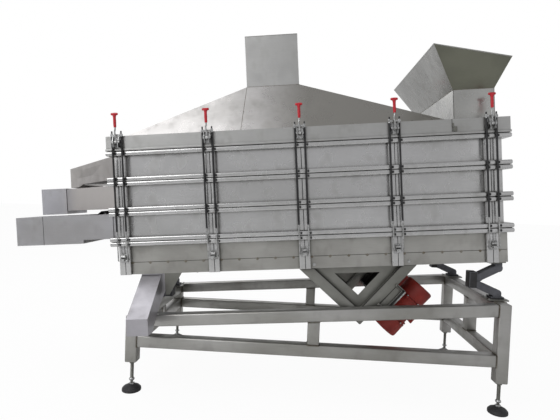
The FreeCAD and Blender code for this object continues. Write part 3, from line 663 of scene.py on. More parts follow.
def bolt_tree():
    """A hexagon head with a washer on every point, square to the point's facing."""
    tree, given, out = new_tree("bolt_heads", {"Radius": 6 * MM, "Height": 5 * MM})
    head = add(tree, "GeometryNodeMeshCylinder", {"Vertices": 6, "Depth": given.outputs["Height"],
                                                  "Radius": given.outputs["Radius"]})
    wide = add(tree, "ShaderNodeMath", {0: given.outputs["Radius"], 1: 1.45},
               operation="MULTIPLY")
    thin = add(tree, "ShaderNodeMath", {0: given.outputs["Height"], 1: 0.4},
               operation="MULTIPLY")
    washer = add(tree, "GeometryNodeMeshCylinder", {"Vertices": 16, "Depth": thin.outputs[0],
                                                    "Radius": wide.outputs[0]})
    lift = add(tree, "ShaderNodeMath", {0: given.outputs["Height"], 1: 0.5},
               operation="MULTIPLY")
    rise = add(tree, "ShaderNodeCombineXYZ", {"Z": lift.outputs[0]})
    raised = add(tree, "GeometryNodeTransform", {"Geometry": head.outputs[0],
                                                 "Translation": rise.outputs[0]})
    both = add(tree, "GeometryNodeJoinGeometry")
    tree.links.new(raised.outputs[0], both.inputs[0])
    tree.links.new(washer.outputs[0], both.inputs[0])
    facing = add(tree, "GeometryNodeInputNamedAttribute", {"Name": "facing"},
                 data_type="FLOAT_VECTOR")
    turn = add(tree, "FunctionNodeAlignRotationToVector", {"Vector": facing.outputs[0]},
               axis="Z")
    spots = add(tree, "GeometryNodeInstanceOnPoints",
                {"Points": given.outputs[0], "Instance": both.outputs[0],
                 "Rotation": turn.outputs[0]})
    return close_tree(tree, spots.outputs[0], given, out)


def weld_tree():
    """Overlapping flattened drops of metal along every edge of the input."""
    tree, given, out = new_tree("weld_beads", {"Radius": 3 * MM, "Spacing": 6 * MM})
    path = add(tree, "GeometryNodeMeshToCurve", {0: given.outputs[0]})
    spots = add(tree, "GeometryNodeCurveToPoints",
                {"Curve": path.outputs[0], "Length": given.outputs["Spacing"]}, mode="LENGTH")
    drop = add(tree, "GeometryNodeMeshIcoSphere", {"Radius": given.outputs["Radius"],
                                                   "Subdivisions": 1})
    size = add(tree, "FunctionNodeRandomValue", {"Seed": 7}, data_type="FLOAT_VECTOR")
    size.inputs[0].default_value = (0.8, 0.8, 1.2)
    size.inputs[1].default_value = (1.15, 1.15, 1.6)
    placed = add(tree, "GeometryNodeInstanceOnPoints",
                 {"Points": spots.outputs["Points"], "Instance": drop.outputs[0],
                  "Rotation": spots.outputs["Rotation"], "Scale": size.outputs[0]})
    return close_tree(tree, placed.outputs[0], given, out)


def run_tree(tree, mesh, name, values, finish):
    """Runs a node tree over a mesh of points or edges and keeps the result as a piece."""
    carrier = bpy.data.objects.new(name + "_places", mesh)
    bpy.context.scene.collection.objects.link(carrier)
    modifier = carrier.modifiers.new("Shape", "NODES")
    modifier.node_group = tree
    for item in tree.interface.items_tree:
        if item.in_out == "INPUT" and item.name in values:
            modifier[item.identifier] = values[item.name]
        if item.in_out == "INPUT" and item.name == "Finish":
            modifier[item.identifier] = FINISHES[finish]
    shown = carrier.evaluated_get(bpy.context.evaluated_depsgraph_get())
    result = bpy.data.meshes.new_from_object(shown)
    carrier.modifiers.clear()
    bpy.data.objects.remove(carrier)
    result.name = name
    return place_piece(name, result, [])


def bolts(name, spots, radius, height, finish="zinc_plated_steel"):
    """Bolt heads at (place, facing) pairs given in metres."""
    mesh = bpy.data.meshes.new(name + "_places")
    mesh.from_pydata([spot for spot, facing in spots], [], [])
    field = mesh.attributes.new("facing", "FLOAT_VECTOR", "POINT")
    for index, (spot, facing) in enumerate(spots):
        field.data[index].vector = facing
    tree = bpy.data.node_groups.get("bolt_heads") or bolt_tree()
    return run_tree(tree, mesh, name, {"Radius": radius, "Height": height}, finish)


def welds(name, runs, radius, spacing):
    """Weld beads along straight runs given as pairs of points in metres."""
    points = []
    edges = []
    for start, end in runs:
        edges.append((len(points), len(points) + 1))
        points.extend((start, end))
    mesh = bpy.data.meshes.new(name + "_places")
    mesh.from_pydata(points, edges, [])
    tree = bpy.data.node_groups.get("weld_beads") or weld_tree()
    return run_tree(tree, mesh, name, {"Radius": radius, "Spacing": spacing},
                    "stainless_weld")


def on_deck(u, v, w):
    """A place in metres from one in the deck's frame."""
    return DECK @ (Vector((u, v, w)) * MM)


# Pieces

class SCREEN_OT_finishes(bpy.types.Operator):
    """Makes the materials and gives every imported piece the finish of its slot"""
    bl_idname = "screen.finishes"
    bl_label = "Sheet and plate finishes"

    def execute(self, context):
        make_materials(context.scene.screen_colours)
        for part in frame["record"]["subparts"]:
            node = frame["nodes"][part["node"]]
            usual = SLOT_FINISH[part["material_slot"]]
            finish = FINISHES[NODE_FINISH.get(part["node"], usual)]
            if not node.material_slots:
                raise RuntimeError("%s has no material slot" % node.name)
            for place in node.material_slots:
                place.material = finish
        return {"FINISHED"}


def bead_outline(bulge):
    """Half of a folded edge: out from the flange's face and up, in millimetres."""
    steps = 7
    for i in range(steps + 1):
        angle = -math.pi / 2 + math.pi * i / steps
        yield bulge * math.cos(angle), FLANGE_THICK / 2 * (1 + math.sin(angle))


def flange_heights():
    yield BASE_HEIGHT - FLANGE_THICK
    for index in range(3):
        foot = BASE_HEIGHT + GASKET * (index + 1) + TRAY_HEIGHT * index
        yield foot
        yield foot + TRAY_HEIGHT - FLANGE_THICK


class SCREEN_OT_flanges(bpy.types.Operator):
    """Rounds the folded outer edges of the tray flanges and adds the lid's bottom lip"""
    bl_idname = "screen.flanges"
    bl_label = "Flange edges"

    def execute(self, context):
        bulge = context.scene.screen_sizes.bead_bulge / MM
        shape = Shape()
        face = HALF_WIDTH + FLANGE_REACH
        left, right = -WALL_LEFT - FLANGE_REACH, WALL_RIGHT + FLANGE_REACH
        for height in flange_heights():
            shape_ring(shape, left, right, face, height, bead_outline(bulge))
        shape.finish("flange_edges", DECK, ["brushed_stainless_wall"], "tray_sheet")
        lip = Shape()
        outline = [(0, 0), (bulge * 0.8, 1), (bulge, 8), (bulge * 0.8, 15), (0, 17)]
        shape_ring(lip, left, right, face, LID_FOOT, outline)
        lip.finish("lid_lip", DECK, ["brushed_stainless_lid"], "lid_sheet")
        return {"FINISHED"}


def shape_ring(shape, left, right, face, height, outline):
    """Sweeps an outline round a rectangle, just off its faces."""
    rings = []
    skin = 0.1
    for out, up in outline:
        reach = max(out, skin)
        x0, x1, y = left - reach, right + reach, face + reach
        z = height + up
        rings.append([(x0, -y, z), (x1, -y, z), (x1, y, z), (x0, y, z)])
    inside = [[(left - skin / 2, -face - skin / 2, z), (right + skin / 2, -face - skin / 2, z),
               (right + skin / 2, face + skin / 2, z), (left - skin / 2, face + skin / 2, z)]
              for z in (rings[-1][0][2], rings[0][0][2])]
    shape.skin(rings + inside, closed=False)


class SCREEN_OT_frame(bpy.types.Operator):
    """Rounds the corners of the square tube, the drive's arms and the plates"""
    bl_idname = "screen.frame_tubes"
    bl_label = "Frame tube"

    def execute(self, context):
        corner = context.scene.screen_sizes.tube_corner
        for node in ("frame_legs", "upper_side_beams", "lower_side_beams", "end_beams",
                     "mid_posts"):
            softened(node, corner, node + "_tube", "welded_stainless_tube")
        softened("drive_arms", corner, "drive_arms_tube", "stainless_plate")
        return {"FINISHED"}


class SCREEN_OT_mounts(bpy.types.Operator):
    """Makes the rubber rocker mounts: feet, arms with round eyes, knee blocks and bolts"""
    bl_idname = "screen.mounts"
    bl_label = "Rocker mounts"

    def execute(self, context):
        softened("mount_plates", 1.5 * MM, "mount_plate_edges", "stainless_plate")
        edge = context.scene.screen_sizes.cast_corner / MM
        boxes = [spans(corners) for corners in islands("mount_plates")]
        if len(boxes) != len(MOUNT_FACING):
            raise RuntimeError("there are not four mount plates")
        shape = Shape()
        spots = []
        for box in boxes:
            x, y = sum(box[0]) / 2, sum(box[1]) / 2
            facing = MOUNT_FACING[(x > 0, y > 0)]
            self.rocker(shape, x / MM, y / MM, box[2][1] / MM, facing, edge)
            for bolt_x in (box[0][0] + 12 * MM, box[0][1] - 12 * MM):
                for bolt_y in (box[1][0] + 9 * MM, box[1][1] - 9 * MM):
                    spots.append(((bolt_x, bolt_y, box[2][1]), (0, 0, 1)))
        piece = shape.finish("rocker_mount_arms", LEVEL,
                             ["dark_mount_coating", "black_moulded_rubber",
                              "zinc_plated_steel"], "mount_iron")
        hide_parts("rocker_mounts")
        bolts("mount_bolts", spots, 6 * MM, 5 * MM)
        return {"FINISHED"}

    def rocker(self, shape, x, y, foot, facing, edge):
        """Two arms between a foot eye, a knee block and a top eye, one above the other."""
        knee = x - facing * KNEE_REACH
        joints = [(x, foot + LOWER_EYE), (knee, foot + LOWER_KNEE), (knee, foot + UPPER_KNEE),
                  (x, foot + UPPER_EYE)]
        self.arm(shape, joints[0], joints[1], y)
        self.arm(shape, joints[3], joints[2], y)
        for at, up in joints:
            shape.turned((at, y - 35, up), (at, y + 35, up), EYE, 32)
            shape.turned((at, y - 36, up), (at, y + 36, up), PIN, 16)
        near, far = sorted((x - facing * KNEE_NEAR, x - facing * KNEE_FAR))
        shape.block((near, y - 39, foot + 68), (far, y + 39, foot + 178), 1, edge)
        shape.block((x - 44, y - 39, foot), (x + 44, y + 39, foot + 16), 1, edge)
        shape.block((x - 27, y - 34, foot + 12), (x + 27, y + 34, foot + LOWER_EYE), 0, edge)
        shape.block((x - 24, y - 33, foot + UPPER_EYE - 2), (x + 24, y + 33, foot + MOUNT_HEIGHT),
                    0, edge)

    def arm(self, shape, start, end, y):
        """A cast arm, deepest at its middle, with a web on each side."""
        run = Vector((end[0] - start[0], 0, end[1] - start[1]))
        side = Vector((-run.z, 0, run.x)).normalized()
        for width, depth in ((33, 24), (22, 26.5)):
            rings = []
            for share, grow in ((0, 0.96), (0.3, 1.0), (0.7, 1.0), (1, 0.96)):
                at = Vector((start[0], y, start[1])) + run * share
                reach = side * depth * grow
                wide = Vector((0, width, 0))
                rings.append([at - reach - wide, at - reach + wide, at + reach + wide,
                              at + reach - wide])
            shape.skin(rings)


# Each mount's way to lean, by whether it stands at the right and whether at the rear. All
# lean towards the feed end, except the one at the front of the discharge end.
MOUNT_FACING = {(True, False): 1, (True, True): 1, (False, False): -1, (False, True): 1}


class SCREEN_OT_feet(bpy.types.Operator):
    """Turns the levelling feet: dished pads, hexagons, threaded spindles and lock nuts"""
    bl_idname = "screen.feet"
    bl_label = "Levelling feet"

    def execute(self, context):
        pitch = context.scene.screen_sizes.thread_pitch / MM
        shape = Shape()
        for corners in islands("levelling_feet"):
            box = spans(corners)
            self.foot(shape, sum(box[0]) / 2 / MM, sum(box[1]) / 2 / MM, box[2][1] / MM, pitch)
        piece = shape.finish("levelling_feet_turned", LEVEL,
                             ["black_moulded_rubber", "zinc_plated_steel",
                              "stainless_plate"], "feet")
        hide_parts("levelling_feet")
        return {"FINISHED"}

    def foot(self, shape, x, y, top, pitch):
        """A dished pad, a hexagon, a bright swivel nut and a dull threaded spindle."""
        base, head = (x, y, 0), (x, y, top)
        shape.turned(base, head, [(0, 60), (2, 63.5), (8, 64.6), (18, 63), (28, 54), (36, 38),
                                  (42, 28), (44, 24)], 48, 0)
        shape.hexagon((x, y, 43), (x, y, 56), 19, 1)
        shape.turned((x, y, 55), (x, y, 70), [(0, 9), (15, 9)], 20, 2)
        shape.turned((x, y, 69), (x, y, 89), [(0, 12), (4, 17), (10, 19), (16, 17), (20, 13)],
                     24, 1)
        start = 88
        outline = [(0, 11)]
        for i in range(int((top - start) / pitch)):
            outline += [(i * pitch + 0.2, 10.6), (i * pitch + pitch / 2, 12)]
        outline.append((top - start, 10.6))
        shape.turned((x, y, start), head, outline, 20, 2)
        shape.hexagon((x, y, top - 15), (x, y, top - 1), 18, 2)


class SCREEN_OT_handles(bpy.types.Operator):
    """Makes the ten levers: a cranked steel shank, a dipped grip and its T head"""
    bl_idname = "screen.handles"
    bl_label = "Clamp handles"

    def execute(self, context):
        radius = context.scene.screen_sizes.grip_radius / MM
        for side, sign, index, u in clamp_places():
            shape = Shape()
            v = sign * PIVOT_LINE
            self.lever(shape, u, v, radius)
            name = "%s_handle_%d" % (side, index + 1)
            piece = shape.finish(name + "_grip", DECK, ["zinc_plated_steel", "dipped_vinyl"],
                                 "handle_red", name + "_lever")
            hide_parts(name)
        return {"FINISHED"}

    def lever(self, shape, u, v, radius):
        pivot = PIVOT_HEIGHT
        shape.turned((u - 9, v, pivot), (u + 9, v, pivot),
                     [(0, 10), (1, 11), (17, 11), (18, 10)], 24)
        crank = ((0, 8), (0, 40), (-4, 58), (-4, 72), (0, 86), (0, 120))
        shape.pipe([(u + along, v, pivot + up) for along, up in crank], 5.4, 14)
        foot = pivot + 99
        shape.turned((u, v, foot), (u, v, foot + 88),
                     [(0, radius - 3.5), (2, radius - 1.5), (8, radius - 0.5), (40, radius),
                      (66, radius - 0.5), (78, radius + 1.5), (86, radius + 5),
                      (88, radius + 5)], 28, 1)
        head = foot + 90
        shape.turned((u - 24, v, head), (u + 24, v, head),
                     [(0, 3), (1.2, 6), (4, 8), (12, 8.6), (24, 9.4), (36, 8.6), (44, 8),
                      (46.8, 6), (48, 3)], 24, 1)


class SCREEN_OT_clamp_fittings(bpy.types.Operator):
    """Adds links, pins, nuts and rod ends at the clamps' heads and feet"""
    bl_idname = "screen.clamp_fittings"
    bl_label = "Clamp fittings"

    def execute(self, context):
        shape = Shape()
        for side, sign, index, u in clamp_places():
            self.head(shape, u, sign)
            self.foot(shape, u, sign)
        shape.finish("clamp_fittings", DECK,
                     ["zinc_plated_steel", "black_polyethylene_tube"], "clamp_zinc")
        return {"FINISHED"}

    def head(self, shape, u, sign):
        rods = sign * ROD_LINE
        v = sign * PIVOT_LINE
        for place in (u - ROD_HALF, u + ROD_HALF):
            shape.hexagon((place, rods, BAR_HEIGHT + 10.2), (place, rods, BAR_HEIGHT + 17), 8)
            shape.hexagon((place, rods, BAR_HEIGHT - 1), (place, rods, BAR_HEIGHT - 8), 8.5)
            shape.turned((place, rods, BAR_HEIGHT + 16), (place, rods, BAR_HEIGHT + 33),
                         [(0, 5.2), (14, 5.2), (16, 4), (17, 2)], 16, 1)
        for way in (-1, 1):
            near, far = sorted((u + way * 19, u + way * 22))
            outline = [(v - 7, PIVOT_HEIGHT - 8), (v + 7, PIVOT_HEIGHT - 8),
                       (v + 7, PIVOT_HEIGHT + 12), (rods + 6, BAR_HEIGHT + 4),
                       (rods - 6, BAR_HEIGHT + 4), (v - 7, PIVOT_HEIGHT + 12)]
            shape.plate(outline, "x", near, far)
            shape.rod((u + way * 18, v, PIVOT_HEIGHT), (u + way * 26, v, PIVOT_HEIGHT), 7.5)
            shape.rod((u + way * 21, rods, BAR_HEIGHT - 9),
                      (u + way * 27, rods, BAR_HEIGHT - 9), 6)
            face = sign * (HALF_WIDTH + FLANGE_REACH + 5)
            for low in (890, 938):
                shape.hexagon((u + way * 28, face, low), (u + way * 28, face + sign * 4, low),
                              4.5)

    def foot(self, shape, u, sign):
        face = sign * (HALF_WIDTH + POST_DEEP + 5)
        for way in (-1, 1):
            for rise in (-6, 30):
                spot = (u + way * 18, face, YOKE_HEIGHT + rise)
                tip = (u + way * 18, face + sign * 6, YOKE_HEIGHT + rise)
                shape.hexagon(spot, tip, 5.5)
        v, w = sign * (HALF_WIDTH + POST_DEEP + 20), YOKE_HEIGHT + 26
        shape.turned((u - 17, v, w), (u + 17, v, w), [(0, 9), (2, 12), (32, 12), (34, 9)], 24)
        rods = sign * ROD_LINE
        for place in (u - ROD_HALF, u + ROD_HALF):
            shape.turned((place, rods, 287), (place, rods, 307),
                         [(0, 5.2), (2, 6.6), (18, 6.6), (20, 5.2)], 16)


class SCREEN_OT_bolts(bpy.types.Operator):
    """Adds the bolts through each pair of flanges and the drive's plates"""
    bl_idname = "screen.bolts"
    bl_label = "Bolt heads"

    def execute(self, context):
        radius = context.scene.screen_sizes.bolt_radius
        bulge = context.scene.screen_sizes.bead_bulge / MM
        spots = []
        out = HALF_WIDTH + FLANGE_REACH + bulge - 1
        for side, sign, index, u in clamp_places():
            facing = DECK_TURN @ Vector((0, sign, 0))
            for height in flange_heights():
                for place in (u - ROD_HALF + 15, u + ROD_HALF + 15):
                    rise = height + FLANGE_THICK / 2
                    spots.append((on_deck(place, sign * out, rise), facing))
        bolts("flange_bolts", spots, radius, 4 * MM, "black_moulded_rubber")

        spots = []
        for sign in (-1, 1):
            for u in (DRIVE_AT - 320, DRIVE_AT + 320):
                for shift in (-25, 25):
                    place = on_deck(u + shift, sign * (HALF_WIDTH + 1), 26)
                    spots.append((place, DECK_TURN @ Vector((0, sign, 0))))
        bolts("drive_bolts", spots, 8 * MM, 6 * MM)
        return {"FINISHED"}


class SCREEN_OT_motors(bpy.types.Operator):
    """Makes the two vibration motors: caps, ribbed stators, feet and terminal boxes"""
    bl_idname = "screen.motors"
    bl_label = "Vibration motors"

    def execute(self, context):
        for side, sign in SIDES:
            shape = Shape()
            self.motor(shape, sign * MOTOR_LINE)
            piece = shape.finish(side + "_motor_housing", DRIVE,
                                 ["red_cast_enamel", "zinc_plated_steel",
                                  "black_moulded_rubber"], "motor_paint")
            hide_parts(side + "_motor")
        self.seat_ends()
        return {"FINISHED"}

    def seat_ends(self):
        """The motors' seat: a folded channel with cheeks, rounded ends and bright strips."""
        shape = Shape()
        low, high = MOTOR_AT - SEAT_HALF, MOTOR_AT + SEAT_HALF
        shape.block((low, -HALF_WIDTH, SEAT_FACE), (high, HALF_WIDTH, SEAT_FACE + SEAT_THICK),
                    1, 2)
        for start in (low, high - SEAT_THICK):
            shape.block((start, -HALF_WIDTH + 11, SEAT_FACE + SEAT_THICK - 0.5),
                        (start + SEAT_THICK, HALF_WIDTH - 11, -0.3), 1)
        past = (HALF_WIDTH + 0.3, HALF_WIDTH + 12)
        for side, sign in SIDES:
            shape.side_block(sign, (low + 1, high - 1), (HALF_WIDTH - 10, HALF_WIDTH - 2),
                             (SEAT_FACE + SEAT_THICK - 0.5, -0.5))
            for at in (low + 10, high - 10):
                shape.side_block(sign, (at - 10, at + 10), past, (SEAT_FACE + 0.5, 14), 1, 8)
            shape.side_block(sign, (low, high), past, (SEAT_FACE, SEAT_FACE + 20), 1, 2)
            shape.side_block(sign, (low + 6, high - 6), (HALF_WIDTH - 60, HALF_WIDTH + 8),
                             (SEAT_FACE - 9, SEAT_FACE - 0.3), 2)
        piece = shape.finish("folded_motor_seat", DRIVE,
                             ["stainless_plate", "dark_enamel_and_painted_shadow", "zinc_plated_steel"],
                             "seat_paint")
        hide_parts("motor_seat")
        self.arm_gaps()

    def arm_gaps(self):
        """A dark bar of painted shadow in the gap between each V arm and the web that is set back behind it."""
        shape = Shape()
        slant = ARM_WIDE * math.sqrt(2)
        for side, sign in SIDES:
            y = sign * (HALF_WIDTH - 1)
            corners = [(DRIVE_AT - DRIVE_HALF + slant, y, -1), (DRIVE_AT, y, slant - DRIVE_HALF),
                       (DRIVE_AT + DRIVE_HALF - slant, y, -1)]
            shape.pipe(corners, 3, 8, 0)
        shape.finish("arm_gap_shadows", DECK, ["dark_enamel_and_painted_shadow"], "plate_steel")

    def motor(self, shape, y):
        """One motor below its seat: end caps with lugs, stator, feet, ribs and its box."""
        axis = -MOTOR_DROP
        middle = MOTOR_AT
        for way in (-1, 1):
            start = (middle + way * 72, y, axis)
            end = (middle + way * 205, y, axis)
            shape.turned(start, end, [(0, 90), (1, 101), (3, 103), (11, 103), (13, 99),
                                      (15, 97), (18, 97), (20, 101), (22, 103), (31, 103),
                                      (33, 101), (112, 103), (122, 102), (129, 97),
                                      (132, 90), (133, 84)], 72)
            for step in range(6):
                angle = math.radians(30 + 60 * step)
                spot = Vector((middle + way * 86, y + 104 * math.cos(angle),
                               axis + 98 * math.sin(angle)))
                tip = spot + Vector((way * 9, 0, 0))
                lug = spot - Vector((way * 13, 0, 0))
                if math.sin(angle) < 0.9:
                    shape.rod(lug, spot, 9, 16, 0, 2)
                    shape.hexagon(spot, tip, 6.5, 1)
        shape.turned((middle - MOTOR_HALF, y, axis), (middle + MOTOR_HALF, y, axis),
                     [(0, 88), (4, 93), (16, 94), (20, 92), (156, 92), (160, 94), (172, 93),
                      (176, 88)], 72)
        for way in (-1, 1):
            low, high = sorted((way * 38, way * 105))
            shape.block((middle - MOTOR_HALF, y + low, SEAT_FACE - 24),
                        (middle + MOTOR_HALF, y + high, SEAT_FACE - 9), 0, 3)
            shape.block((middle - 86, y + low + 2, SEAT_FACE - 10),
                        (middle + 86, y + high - 2, SEAT_FACE - 0.2), 1)
            for place in (-62, 62):
                spot = (middle + place, y + way * 88, SEAT_FACE - 24)
                tip = (middle + place, y + way * 88, SEAT_FACE - 36)
                shape.turned(spot, tip, [(-0.5, 15), (3, 15)], 24, 1)
                shape.hexagon((spot[0], spot[1], SEAT_FACE - 26), tip, 11.5, 1)
                outline = [(y + way * 60, SEAT_FACE - 22), (y + way * 102, SEAT_FACE - 22),
                           (y + way * 74, axis + 55), (y + way * 60, axis + 55)]
                at = middle + place * 0.55
                shape.plate(outline, "x", at - 5, at + 5)
        shape.block((middle - 60, y - 44, SEAT_FACE - 80),
                    (middle + 60, y + 44, SEAT_FACE - 5), 0, 4)
        foot = axis - MOTOR_HALF
        shape.block((middle - 46, y - 43, foot - 18), (middle + 46, y + 43, foot + 24), 0, 5)
        shape.block((middle - 48, y - 45, foot - 33), (middle + 48, y + 45, foot - 19), 0, 4)
        for a in (-38, 38):
            for b in (-35, 35):
                shape.hexagon((middle + a, y + b, foot - 32), (middle + a, y + b, foot - 36),
                              4.5, 1)
        gland = (middle + 44, y, foot - 4)
        shape.turned(gland, (middle + 72, y, foot - 4),
                     [(0, 13), (6, 13), (7, 11), (16, 11), (22, 8), (23, 5)], 20, 2)


class SCREEN_OT_welds(bpy.types.Operator):
    """Lays weld beads on the frame, the base, the hood and the hopper"""
    bl_idname = "screen.welds"
    bl_label = "Weld beads"

    def execute(self, context):
        sizes = context.scene.screen_sizes
        self.base_stitches(sizes)
        self.seams()
        self.frame_joints(sizes)
        return {"FINISHED"}

    def base_stitches(self, sizes):
        """The seam where the floor is stitched into the base's walls, with its bumps."""
        shape = Shape()
        runs = []
        pitch = sizes.stitch_pitch / MM
        for side, sign in SIDES:
            face = sign * HALF_WIDTH
            shape.side_block(sign, (-WALL_LEFT + 2, BASE_RIGHT - 2),
                             (HALF_WIDTH + 0.2, HALF_WIDTH + 1.2),
                             (FLOOR_SEAM - 1.2, FLOOR_SEAM + 1.2))
            count = int((WALL_LEFT + BASE_RIGHT) / pitch)
            for index in range(count):
                u = -WALL_LEFT + pitch * (index + 0.6)
                place = face - sign * 1
                runs.append((on_deck(u, place, FLOOR_SEAM), on_deck(u + 24, place, FLOOR_SEAM)))
                shape.turned((u + 11, face, FLOOR_SEAM - 4),
                             (u + 11, face + sign * 2.2, FLOOR_SEAM - 4),
                             [(0, 9), (1.4, 8), (2.2, 4)], 20, 1)
        shape.finish("floor_seams", DECK, ["dark_enamel_and_painted_shadow", "stainless_weld"], "tray_sheet")
        welds("stitch_welds", runs, sizes.weld_radius, 5 * MM)

    def seams(self):
        """The seams of the hood, of the chimney's foot and of the hopper's neck."""
        front = CHIMNEY_AT - CHIMNEY_HALF
        back = CHIMNEY_AT + CHIMNEY_HALF
        runs = []

        def run(start, end):
            runs.append((on_deck(*start), on_deck(*end)))

        for sign in (-1, 1):
            half, hood, neck = sign * CHIMNEY_HALF, sign * HOOD_HALF, sign * NECK_HALF
            run((front, half, HOOD_TOP), (back, half, HOOD_TOP))
            run((front, half, HOOD_TOP), (front - 30, hood, LID_TOP))
            run((HOOD_LEFT, hood, LID_TOP), (HOOD_RIGHT, hood, LID_TOP))
            for w in (NECK_TOP, LID_TOP):
                run((NECK_LEFT, neck, w), (NECK_RIGHT, neck, w))
        for u in (front, back):
            run((u, -CHIMNEY_HALF, HOOD_TOP), (u, CHIMNEY_HALF, HOOD_TOP))
        for u in (NECK_LEFT, NECK_RIGHT):
            for w in (LID_TOP, NECK_TOP):
                run((u, -NECK_HALF, w), (u, NECK_HALF, w))
        welds("sheet_seams", runs, 2 * MM, 4 * MM)

    def frame_joints(self, sizes):
        """A bead round each end of each tube, where it meets its neighbour."""
        runs = []
        for node in ("upper_side_beams", "lower_side_beams", "end_beams", "mid_posts"):
            for corners in islands(node):
                reach = [high - low for low, high in spans(corners)]
                axis = reach.index(max(reach))
                runs.extend(self.end_loops(corners, axis, sizes.tube_corner * 0.6))
        welds("frame_welds", runs, sizes.weld_radius, 6.5 * MM)

    def end_loops(self, corners, axis, inset):
        """The edges of a tube's two ends, each drawn in by the inset from its corners."""
        middle = sum(spans(corners)[axis]) / 2
        others = [k for k in range(3) if k != axis]
        for way in (-1, 1):
            end = [p for p in corners if (p[axis] - middle) * way > 0]
            if len(end) < 4:
                continue
            centre = sum(end, Vector()) / len(end)

            def angle(p):
                return math.atan2(p[others[1]] - centre[others[1]],
                                  p[others[0]] - centre[others[0]])
            end.sort(key=angle)
            for i, here in enumerate(end):
                there = end[(i + 1) % len(end)]
                step = (there - here).normalized() * inset
                yield here + step, there - step


class SCREEN_OT_posts(bpy.types.Operator):
    """Makes the folded posts behind the clamps, each of two angles with a seam between"""
    bl_idname = "screen.posts"
    bl_label = "Wall posts"

    def execute(self, context):
        shape = Shape()
        heights = list(flange_heights())
        walls = [(0, heights[0])]
        for low, high in zip(heights[1::2], heights[2::2]):
            walls.append((low + FLANGE_THICK, high))
        out = (HALF_WIDTH + 0.2, HALF_WIDTH + POST_DEEP)
        for side, sign, index, u in clamp_places():
            for low, high in walls:
                for along in ((u - 38, u + 1.5), (u + 4, u + 38)):
                    shape.side_block(sign, along, out, (low + 0.3, high - 0.3), 0, 3)
                shape.side_block(sign, (u + 1, u + 4.5), (HALF_WIDTH + 0.2, HALF_WIDTH + 20),
                                 (low + 1, high - 1), 1)
        piece = shape.finish("folded_wall_posts", DECK,
                             ["brushed_stainless_wall", "dark_enamel_and_painted_shadow"], "tray_sheet")
        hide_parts("wall_posts")
        return {"FINISHED"}


def panel(shape, corners, thick=3.0, finish=0):
    """A flat sheet with its outer face on the corners, and its body behind them."""
    corners = [Vector(c) for c in corners]
    normal = (corners[1] - corners[0]).cross(corners[-1] - corners[0]).normalized()
    shape.skin([[c - normal * thick for c in corners], corners], finish)


class SCREEN_OT_hopper(bpy.types.Operator):
    """Makes the feed hopper from folded panels, with a hem round its slanted rim"""
    bl_idname = "screen.hopper"
    bl_label = "Feed hopper"

    def execute(self, context):
        shape = Shape()
        neck = [(NECK_LEFT, -NECK_HALF), (NECK_RIGHT, -NECK_HALF), (NECK_RIGHT, NECK_HALF),
                (NECK_LEFT, NECK_HALF)]
        rim = [(RIM_LEFT, -RIM_HALF_LEFT, RIM_TOP_LEFT),
               (RIM_RIGHT, -RIM_HALF_RIGHT, RIM_TOP_RIGHT),
               (RIM_RIGHT, RIM_HALF_RIGHT, RIM_TOP_RIGHT),
               (RIM_LEFT, RIM_HALF_LEFT, RIM_TOP_LEFT)]
        hem = [(u + math.copysign(HEM, NECK_RIGHT - u), v - math.copysign(HEM, v), w - HEM)
               for u, v, w in rim]
        for i in range(4):
            j = (i + 1) % 4
            panel(shape, [(*neck[i], LID_TOP), (*neck[j], LID_TOP), (*neck[j], NECK_TOP),
                          (*neck[i], NECK_TOP)])
            # The front and rear flares take the darker finish of painted shade.
            flare = 1 if neck[i][1] == neck[j][1] else 0
            panel(shape, [(*neck[i], NECK_TOP), (*neck[j], NECK_TOP), rim[j], rim[i]],
                  finish=flare)
            shape.pipe([hem[i], hem[j]], 2.8, 10)
        piece = shape.finish("folded_feed_hopper", DECK,
                             ["rolled_stainless_hopper", "painted_shade_stainless_flare"],
                             "hopper_sheet")
        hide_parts("feed_hopper")
        return {"FINISHED"}


